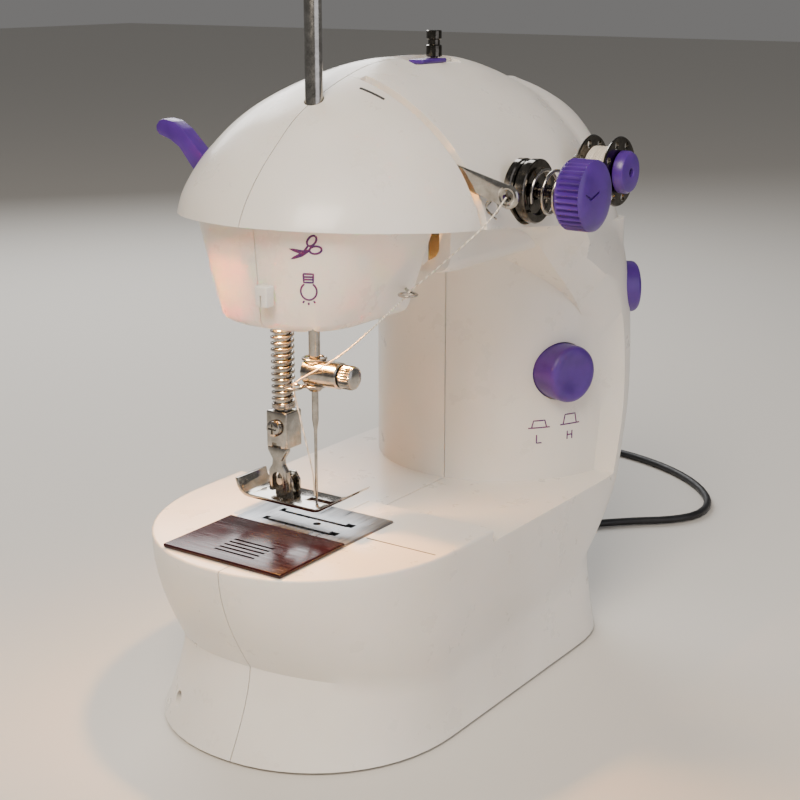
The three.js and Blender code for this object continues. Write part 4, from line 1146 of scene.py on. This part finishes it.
class PresserOperator(bpy.types.Operator):
    """Presser bar spring, foot holder, screw and foot"""

    bl_idname = "machine.presser"
    bl_label = "Presser Foot"

    def execute(self, context):
        nickel = nickel_plated_steel()
        x, y = PRESSER
        coil = helix((x, y, 0), "z", 3.0, 91.0, 121.2, sizes().spring_turns, 2.5, 18)
        spring = wire_mesh("presser_coil_spring", coil, 0.44)
        finish(spring, nickel, None, ("presser_spring",), 60)
        self.stretch_spring(spring)
        holder = block("holder", (x - 3.6, y - 3.6, 79.4), (x + 3.6, y + 3.6, 90.2), 0.5)
        boolean(holder, block("relief", (x - 4, y - 1.6, 79), (x - 2.6, y + 1.6, 81)), "DIFFERENCE")
        neck = [(y - 3.4, 79.6), (y - 3.4, 78.6), (y - 1.7, 76), (y - 1.9, 74.4)]
        neck += [(y - 3.1, 72.6), (y - 3.1, 66.4)]
        outline_yz = neck + [(2 * y - b, z) for b, z in reversed(neck)]
        shank = pushed("shank", [(x - 3.5, b, z) for b, z in outline_yz], (2.0, 0, 0), 0.25)
        arch = round_places(y, 70.4, 1.9, [i / 12 * math.pi for i in range(13)])
        arch += [(y - 1.9, 65), (y + 1.9, 65)]
        window = pushed("window", [(x - 6, b, z) for b, z in arch], (6, 0, 0))
        boolean(shank, window, "DIFFERENCE")
        pin = rod("pin", "x", 0.95, x - 2.6, x + 3.8, (0, y, 69.2), 24)
        body = joined("foot_holder_body", [holder, shank, pin])
        finish(body, nickel, "presser", ("foot_holder",), 40)
        screw = turned(
            "holder_screw", "x",
            [(0, x - 5.5), (1.6, x - 5.5), (2.2, x - 5.2), (2.4, x - 4.6), (2.4, x - 3.8), (0, x - 3.7)],
            (0, y, HOLDER_SCREW_Z), 40,
        )
        for a, b in ((1.5, 0.3), (0.3, 1.5)):
            low = (x - 7, y - a, HOLDER_SCREW_Z - b)
            high = (x - 4.8, y + a, HOLDER_SCREW_Z + b)
            boolean(screw, block("cross", low, high), "DIFFERENCE")
        finish(screw, nickel, "presser", ("foot_screw",), 40)
        self.foot(nickel)
        return {"FINISHED"}

    def stretch_spring(self, spring):
        """Bakes the spring's place into its mesh."""
        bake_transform(spring)

    def foot(self, nickel):
        """A sole turned up at both ends, split at the front, with two ears for the pin."""
        x, y = PRESSER
        low = FOOT_Z
        side = [(24.6, 5.0), (23.9, 2.6), (22.8, 1.2), (21.4, 0.3), (19.6, 0), (-3.6, 0), (-5.4, 0.4)]
        side += [(-13.6, 5.4), (-14.2, 6.3)]
        side += [(-5.8, 1.5), (-4.0, 1.05), (19.4, 1.05), (21, 1.4), (22.1, 2.1), (23.0, 3.2), (23.5, 5.2)]
        sole = pushed("sole", [(x - 6.5, b, low + h) for b, h in side], (13, 0, 0), 0.16)
        boolean(sole, block("fork", (x - 1.6, -30, low - 5), (x + 1.6, 3, low + 20)), "DIFFERENCE")
        parts = [sole]
        for side in (x - 0.9, x + 2.7):
            ear = [(y - 3, 0.6), (y + 3, 0.6), (y + 3, 5), (y + 1.6, 7.2), (y - 1.6, 7.2), (y - 3, 5)]
            parts.append(pushed("ear", [(side, b, low + h) for b, h in ear], (0.8, 0, 0), 0.12))
        piece = joined("presser_foot_plate", parts)
        finish(piece, nickel, "foot", ("presser_foot",), 35)


class TensionOperator(bpy.types.Operator):
    """Thread tension discs, spring, stud and ribbed knob, and the take-up lever"""

    bl_idname = "machine.tension"
    bl_label = "Thread Tension"

    def execute(self, context):
        nickel = nickel_plated_steel()
        centre = (TENSION[0], 0, TENSION[1])
        dark = black_nickel_plated()
        rear = [(2.4, -40.4), (8.4, -40.4), (8.7, -40.7), (8.7, -42.3), (8.3, -42.6), (8.3, -43.3)]
        rear += [(2.4, -43.4)]
        disc = turned("tension_disc_back", "y", closed(rear), centre, 72)
        finish(disc, dark, "casing", ("tension_disc_rear",), 30)
        front = [(2.4, -43.7), (8.2, -43.7), (8.4, -43.9), (8.4, -44.8), (8.8, -45.0), (8.8, -46.7)]
        front += [(8.5, -47.0), (6.6, -47.0), (6.1, -46.1), (2.4, -46.1)]
        disc = turned("tension_disc_outer", "y", closed(front), centre, 72)
        finish(disc, dark, "casing", ("tension_disc_front",), 30)
        stud = [(0, -30), (2, -30), (2, -47)]
        stud += [(1.9 if i % 2 else 1.6, -47.2 - i * 0.28) for i in range(36)] + [(0, -57.4)]
        threaded = turned("tension_threaded_stud", "y", stud, centre, 32)
        finish(threaded, dark, "casing", ("tension_stud",), 25)
        coil = wire_mesh("tension_coil_spring", helix(centre, "y", 5.9, -56.1, -47.6, 2.6, 0, 28), 0.5)
        finish(coil, nickel, "casing", ("tension_spring",), 60)
        side = [(0, -57.8), (3.0, -57.8), (3.0, -56.4), (8.8, -56.4), (9.4, -56.7), (9.7, -57.2)]
        side += [(9.7, -57.6), (9.7, -59.5), (9.7, -61.5), (9.7, -63.6)]
        side += [(9.6, -63.9), (9.0, -64.4), (7.5, -64.9), (4.5, -65.25), (0, -65.4)]
        ribs = sizes().knob_ribs
        knob = turned_mesh("y", side, centre, ribs * STEPS_PER_RIB)
        knurl(knob, at(*centre), ribs, 0.09, -63.7, -57.4)
        piece = to_object(knob, "tension_knob_ribbed")
        tick = [(-33.0, 152.6), (-30.4, 151.2), (-26, 152.8), (-26, 153.5), (-30.4, 152.0), (-33.0, 153.3)]
        mark = pushed("mark", [(x, -65.9, z) for x, z in tick], (0, 1.2, 0))
        boolean(piece, mark, "DIFFERENCE")
        finish(piece, purple_abs_moulded(), "tension_knob", ("tension_knob",), 30)
        self.take_up(nickel)
        return {"FINISHED"}

    def take_up(self, nickel):
        """Flat strip lever with a round eye, and the check spring's small loop beside it."""
        x = EYE[0] - 0.6
        tip = round_places(EYE[1], EYE[2], 2.9, [math.radians(110 + i * 10) for i in range(20)])
        hub = round_places(*TAKE_UP_PIVOT, 4, [math.radians(-75 + i * 10) for i in range(17)])
        places = [(x, b, z) for b, z in hub + [(-33, 161)] + tip + [(-33, 155.8)]]
        strip = pushed("take_up_strip", places, (1.2, 0, 0), 0.2)
        boolean(strip, rod("eye", "x", 1.35, -60, -40, (0, EYE[1], EYE[2]), 24), "DIFFERENCE")
        boolean(strip, rod("hub", "x", 1.8, -60, -40, (0, *TAKE_UP_PIVOT), 24), "DIFFERENCE")
        lip = [(EYE[0], y, z) for y, z in round_places(EYE[1], EYE[2], 2.4, circle_angles(28))]
        piece = joined("take_up_arm", [strip, wire_mesh("lip", lip, 0.8, cyclic=True)])
        finish(piece, nickel, "take_up", ("take_up_lever",), 35)
        x, y, z = EYE[0] + 1.4, EYE[1] + 5.6, EYE[2] - 3.4
        loop = [(x + 13, y + 1.5, z + 0.6), (x + 5, y + 2.6, z + 1.6)]
        loop += [(x, b, c) for b, c in round_places(y, z, 1.9, circle_angles(20))]
        loop += [(x - 0.4, y - 0.4, z - 2.4), (x - 0.6, y - 1.6, z - 2.9)]
        finish(wire_mesh("check_spring_wire", loop, 0.28), nickel, "casing", (), 60)


class SpoolOperator(bpy.types.Operator):
    """Front bobbin of thread on its pin, with spring and cap"""

    bl_idname = "machine.spool"
    bl_label = "Front Bobbin"

    def execute(self, context):
        nickel = nickel_plated_steel()
        centre = (SPOOL[0], 0, SPOOL[1])
        back, front = -43.2, -52.8
        reel = [(3, front), (9.9, front), (10.15, front + 0.4), (9.9, front + 0.8), (3.6, front + 0.8)]
        reel += [(3.6, back - 0.8), (9.9, back - 0.8), (10.15, back - 0.4), (9.9, back), (3, back)]
        bobbin = turned("front_bobbin_steel", "y", closed(reel), centre, 72)
        for x, z in round_places(*SPOOL, 8.0, [angle + 0.3 for angle in circle_angles(8)]):
            for near, far in ((-60, -52), (-44.1, -42)):
                boolean(bobbin, rod("hole", "y", 1.15, near, far, (x, 0, z), 20), "DIFFERENCE")
        finish(bobbin, black_nickel_plated(), "bobbin", ("spool_bobbin",), 35)
        wound = [(3.7, front + 0.9)]
        for i in range(27):
            bulge = 0.35 * math.sin(i * 1.9) + (0.16 if i % 2 else 0)
            wound.append((6.6 + bulge, mix(front + 0.9, back - 0.9, i / 26)))
        wound.append((3.7, back - 0.9))
        thread = turned("front_bobbin_thread", "y", closed(wound), centre, 48)
        finish(thread, polyester_thread_twisted(), "bobbin", ("spool_thread",), 80)
        pin = [(0, -28), (1.8, -28), (1.8, -54.6), (1.4, -55.2), (0, -55.2)]
        pin = turned("bobbin_pin", "y", pin, centre, 32)
        finish(pin, nickel, "casing", ("spool_pin",), 35)
        coil = wire_mesh("bobbin_coil_spring", helix(centre, "y", 4.0, -42.8, -38.6, 2.6, 0, 22), 0.4)
        finish(coil, nickel, "casing", ("spool_spring",), 60)
        side = [(2, -53.1), (5.7, -53.1), (6.15, -53.5), (6.15, -55.4), (5.6, -56.3), (4.6, -56.6)]
        side += [(1.5, -56.6), (1.3, -56.4), (1.3, -55.5), (2, -55.5)]
        cap = turned("bobbin_pin_cap", "y", closed(side), centre, 56)
        finish(cap, purple_abs_moulded(), "casing", ("spool_cap",), 35)
        return {"FINISHED"}


class ControlsOperator(bpy.types.Operator):
    """Speed button, power button, lifter lever and hand wheel"""

    bl_idname = "machine.controls"
    bl_label = "Controls"

    def execute(self, context):
        purple = purple_abs_moulded()
        for name, place, proud, body in (
            ("speed_push_button", BUTTON, 7.0, "speed_button"),
            ("power_push_button", POWER, 5.4, "power_button"),
        ):
            r = place["radius"]
            profile = [(0, 4), (r, 4), (r, 1.6 - proud), (r - 0.25, 0.8 - proud), (r - 0.8, 0.25 - proud)]
            profile += [(r - 1.6, -proud), (r - 3.0, -proud), (r - 4.2, 0.35 - proud), (0, 0.5 - proud)]
            button = swung(turned(name, "y", profile, place["at"], 80), place)
            finish(button, purple, body, (body,), 35)
        under = [
            (19.4, 147), (24, 147.4), (31, 149.9), (36, 151.5), (41, 156.5), (45.5, 161.8), (49, 163.8),
            (53, 165), (54.1, 166.2),
        ]
        over = [
            (54, 167.6), (52.8, 169), (51, 169.6), (47.5, 169), (44, 167), (37, 160.5), (31, 157.1),
            (26, 154), (22.4, 149.8), (19.4, 149.6),
        ]
        arm = pushed("lifter", [(-68.7, y, z) for y, z in under + over], (4.7, 0, 0), 0.5)
        boolean(arm, rod("pivot", "x", 1.8, -80, -50, (0, *LIFTER_PIVOT), 24), "DIFFERENCE")
        arm.name = "lifter_arm"
        finish(arm, purple, "lifter", ("lifter_lever",), 30)
        self.hand_wheel(purple)
        return {"FINISHED"}

    def hand_wheel(self, purple):
        """A wheel with a dished face and shallow finger grips round its rim."""
        x0, x1 = 67.2, 77.2
        side = [(2.8, x0), (12.2, x0), (13.6, x0 + 0.4), (14.3, x0 + 1.4), (14.5, x0 + 3), (14.5, x0 + 5)]
        side += [(14.5, x0 + 7), (14.1, x0 + 8.8), (12.9, x1), (11.5, x1), (10, x1 - 1.2), (6, x1 - 1.2)]
        side += [(4, x1), (0.01, x1), (0.01, 72.3), (2.8, 72.3)]
        wheel = turned_mesh("x", closed(side), (0, *SHAFT), 144)
        middle = at(0, *SHAFT)
        rim_from, grips, depth = 12, 16, 0.05
        for vert in wheel.verts:
            offset = vert.co - middle
            if math.hypot(offset.y, offset.z) / MM > rim_from:
                wave = 0.5 + 0.5 * math.cos(math.atan2(offset.z, offset.y) * grips)
                pull = 1 - depth * wave ** 3
                vert.co.y = middle.y + offset.y * pull
                vert.co.z = middle.z + offset.z * pull
        piece = to_object(wheel, "hand_wheel_moulded")
        finish(piece, purple, "main_shaft", ("hand_wheel",), 40)


class PoleOperator(bpy.types.Operator):
    """Telescopic thread pole, bobbin winder, thread cutter and face guide"""

    bl_idname = "machine.pole"
    bl_label = "Pole and Winder"

    def execute(self, context):
        nickel = nickel_plated_steel()
        tube = closed([(1.9, 168.5), (2.4, 168.5), (2.4, 223.7), (2.2, 224), (1.9, 224)])
        outer = turned("pole_outer_tube", "z", tube, (POLE_X, 0, 0), 40)
        finish(outer, nickel, "casing", ("pole_lower",), 35)
        parts = [turned("stem", "z", [(0, 190), (1.6, 190), (1.6, 237.4), (0, 238)], (POLE_X, 0, 0), 32)]
        for side in (-1, 1):
            loop = [(POLE_X, 0, 237)]
            for i in range(21):
                angle = i / 20 * math.tau * 0.92
                loop.append((POLE_X + side * (15.6 - 2.6 * math.cos(angle)), 2.6 * math.sin(angle), 237))
            parts.append(wire_mesh("loop", loop, 0.8))
        inner = joined("pole_inner_guide", parts)
        finish(inner, nickel, "pole_upper", ("pole_upper",), 40)
        self.winder()
        cutter = block("cutter", (-94, -6, 126.2), (-90.6, -2, 131.8), 0.5)
        boolean(cutter, block("nick", (-96, -4.3, 120), (-92.2, -3.7, 129.4)), "DIFFERENCE")
        cutter.name = "thread_cutter_block"
        finish(cutter, abs_white_moulded(), "casing", ("thread_cutter",), 40)
        x, y, z = GUIDE
        open_ring = round_places(x, y, 2.4, [math.radians(20 + i * 15) for i in range(20)])
        hook = [(a, b, z) for a, b in open_ring]
        hook += [(x + 4.0, y + 3.2, z + 0.3), (x + 5.5, y + 4.6, z + 0.4)]
        finish(wire_mesh("face_guide_wire", hook, 0.4), nickel, "casing", ("face_guide",), 60)
        return {"FINISHED"}

    def winder(self):
        """The winder's spindle, and the slide that it turns in."""
        low = WINDER_Z + 2.9
        side = [(0, 177), (1.1, 177), (1.1, low - 1.2), (2.1, low - 1.2), (2.3, low - 1), (2.3, low + 2.0)]
        side += [(2.1, low + 2.2), (1.75, low + 2.3), (1.75, low + 3.7), (2.05, low + 3.8), (2.25, low + 4)]
        side += [(2.25, low + 6.2), (2.0, low + 6.4), (0, low + 6.4)]
        spindle = turned("winder_spindle_steel", "z", side, (WINDER_X, 0, 0), 40)
        finish(spindle, black_nickel_plated(), "winder_spindle", ("winder_spindle",), 35)
        slider = block("winder_slide", (-17, -2.6, WINDER_Z), (-4.2, 2.6, WINDER_Z + 1.3), 0.5)
        boolean(slider, rod("bore", "z", 1.4, 170, 200, (WINDER_X, 0, 0), 24), "DIFFERENCE")
        slider.name = "winder_slide_plate"
        finish(slider, purple_abs_moulded(), "winder", ("winder_slider",), 40)


class ThreadOperator(bpy.types.Operator):
    """Sewing thread from the take-up eye through the clamp ring to the needle"""

    bl_idname = "machine.thread"
    bl_label = "Thread"

    def execute(self, context):
        radius = sizes().thread_diameter / MM / 2
        x, y, z = GUIDE
        white = polyester_thread_twisted()
        steps = 8
        upper = smooth_line([(EYE[0] - 0.95, EYE[1], EYE[2]), (-53.4, -44.9, 144.5), (x, y, z + 0.6)], steps)
        piece = wire_mesh("thread_take_up", upper, radius)
        finish(piece, white, None, ("thread_upper",), 80)
        at(*upper[0])
        at(x, y, z + 0.6)
        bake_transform(piece)
        side = NEEDLE[0] - 3.7 - 0.8
        ring = CLAMP_RING
        lower = [
            (x, y, z), (side, -14.4, 111.6), (side, 2, 101), (ring[0], ring[1] - 0.4, ring[2] - 0.4),
            (NEEDLE[0] - 2.6, 2.9, 88), (NEEDLE[0] - 0.9, 0.9, 75), (NEEDLE[0] - 0.5, 0.2, FOOT_Z + 2.6),
        ]
        piece = wire_mesh("thread_to_needle", smooth_line(lower, steps), radius)
        finish(piece, white, None, ("thread_needle",), 80)
        at(x, y, z)
        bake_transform(piece)
        return {"FINISHED"}


class PrintedMarksOperator(bpy.types.Operator):
    """Printed scissors, lamp and push-button marks"""

    bl_idname = "machine.printed_marks"
    bl_label = "Printed Marks"

    def execute(self, context):
        head = surface_of("casing_head")
        front = surface_of("casing_front")
        self.lay_strokes("scissors_mark", self.scissors(), head, (-88.8, -14.6, 141.5), (-0.87, -0.49))
        self.lay_strokes("lamp_mark", self.bulb(), head, (-87.3, -14.6, 131.4), (-0.84, -0.54))
        for letter, place, facing in (
            ("low", (14.8, -25.8, 69.6), (-0.57, -0.82)),
            ("high", (23.9, -31.8, 69.8), (-0.35, -0.94)),
        ):
            self.lay_strokes(letter + "_speed_mark", self.push(letter), front, place, facing)
        return {"FINISHED"}

    def lay_strokes(self, name, strokes, surface, place, facing):
        """Lays line strokes on the casing; each is (points across and up, half width)."""
        sunk = 0.35  # share of a stroke's half width that lies in the plastic
        out = Vector((*facing, 0)).normalized()
        across = Vector((-out.y, out.x, 0))
        made = []
        for points, width in strokes:
            laid = []
            fine = [points[0]]
            for (ax, az), (bx, bz) in zip(points, points[1:]):
                fine += [(mix(ax, bx, i / 4), mix(az, bz, i / 4)) for i in range(1, 5)]
            for side, rise in fine:
                start = at(*place) + (across * side + Vector((0, 0, rise))) * MM
                hit = surface.ray_cast(start + out * 0.012, -out)
                if hit[0] is None:
                    raise RuntimeError("a printed mark misses the casing: " + name)
                laid.append(from_seam(hit[0]) - hit[1] * width * sunk)
            made.append(wire_mesh("stroke", laid, width))
        piece = joined(name, made)
        finish(piece, pad_printed_ink(), "casing", (), 80)

    def circle(self, x, z, rx, rz, start=0.0, end=360.0, steps=14, turn=0.0):
        """Part of a tilted ellipse, from one angle to another."""
        points = []
        for i in range(steps + 1):
            a = math.radians(mix(start, end, i / steps))
            px, pz = rx * math.cos(a), rz * math.sin(a)
            c, s = math.cos(turn), math.sin(turn)
            points.append((x + px * c - pz * s, z + px * s + pz * c))
        return points

    def scissors(self):
        """Two handles and two blades."""
        w = 0.32
        return [
            (self.circle(2.0, 2.6, 1.6, 1.0, turn=0.9), w),
            (self.circle(2.9, 0.2, 1.6, 1.0, turn=0.15), w),
            ([(1.1, 1.4), (-0.4, -0.6), (-3.6, -2.4), (-0.7, -1.4), (1.2, 0.0)], w),
            ([(1.4, 0.1), (-0.4, -0.2), (-3.9, 0.2), (-0.2, -1.0)], w),
        ]

    def bulb(self):
        """A bulb with its cap up and three short rays under it."""
        w = 0.28
        return [
            ([(-1.3, 3.9), (1.3, 3.9), (1.2, 1.6), (-1.2, 1.6), (-1.3, 3.9)], w),
            ([(-1.2, 3.1), (1.2, 3.1)], w),
            ([(-1.2, 2.4), (1.2, 2.4)], w),
            (self.circle(0, -0.8, 2.1, 2.3, 58, -238, 18), w),
            ([(-1.6, -3.9), (-1.2, -3.4)], w),
            ([(1.6, -3.9), (1.2, -3.4)], w),
            ([(-0.1, -4.4), (-0.1, -3.8)], w),
        ]

    def push(self, letter):
        """A button seen from the side, pressed in or standing out, over the letter L or H."""
        w = 0.24
        rise = 3.2 if letter == "high" else 2.3
        marks = [
            ([(-3.6, 1.4), (3.6, 1.4)], w),
            ([(-2.5, 1.4), (-1.9, 1.4 + rise), (1.9, 1.4 + rise), (2.5, 1.4)], w),
        ]
        if letter == "low":
            return marks + [([(-0.8, -0.9), (-0.8, -3.6), (0.9, -3.6)], w)]
        bars = [[(-0.9, -0.9), (-0.9, -3.6)], [(0.9, -0.9), (0.9, -3.6)], [(-0.9, -2.2), (0.9, -2.2)]]
        return marks + [(bar, w) for bar in bars]


class FrameFinishOperator(bpy.types.Operator):
    """Finishes for the engineering pieces that stay in view"""

    bl_idname = "machine.frame_finish"
    bl_label = "Frame Finishes"

    def execute(self, context):
        finishes = {
            "shell_white": abs_white_moulded,
            "purple": purple_abs_moulded,
            "dark_plastic": black_pvc_moulded,
            "smoke_plate": smoked_styrene,
            "rubber_pad": grey_rubber_pressed,
            "chrome_part": nickel_plated_steel,
            "steel_part": brushed_steel_sheet,
            "thread": polyester_thread_twisted,
            "lamp_glass": lamp_glass_warm,
        }
        for entry in frame["record"]["subparts"]:
            piece = frame["nodes"][entry["node"]]
            material = finishes[entry["material_slot"]]()
            piece.data.materials.clear()
            piece.data.materials.append(material)
            if not piece.hide_render:
                weld = piece.modifiers.new("weld", "WELD")
                weld.merge_threshold = 0.01 * MM
                soften(piece)
        return {"FINISHED"}


class MachinePanel(bpy.types.Panel):
    """Lists the steps that build the machine"""

    bl_idname = "VIEW3D_PT_sewing_machine"
    bl_label = "Sewing Machine"
    bl_space_type = "VIEW_3D"
    bl_region_type = "UI"
    bl_category = "Sewing Machine"

    def draw(self, context):
        for group in (sizes(), colours()):
            for key in group.bl_rna.properties.keys():
                if key not in ("rna_type", "name"):
                    self.layout.prop(group, key)
        for step in STEPS:
            self.layout.operator(step.bl_idname)


STEPS = (
    StageOperator,
    PowerLeadOperator,
    CasingOperator,
    TablePlatesOperator,
    NeedleOperator,
    PresserOperator,
    TensionOperator,
    SpoolOperator,
    ControlsOperator,
    PoleOperator,
    ThreadOperator,
    PrintedMarksOperator,
    FrameFinishOperator,
)
CLASSES = (MachineSizes, MachineColours, *STEPS, MachinePanel)


def register():
    for item in CLASSES:
        bpy.utils.register_class(item)
    bpy.types.Scene.machine_sizes = bpy.props.PointerProperty(type=MachineSizes)
    bpy.types.Scene.machine_colours = bpy.props.PointerProperty(type=MachineColours)


def unregister():
    del bpy.types.Scene.machine_colours
    del bpy.types.Scene.machine_sizes
    for item in reversed(CLASSES):
        bpy.utils.unregister_class(item)


def main():
    """Runs every step in order."""
    register()
    for step in STEPS:
        group, action = step.bl_idname.split(".")
        getattr(getattr(bpy.ops, group), action)()


if __name__ == "__main__":
    main()
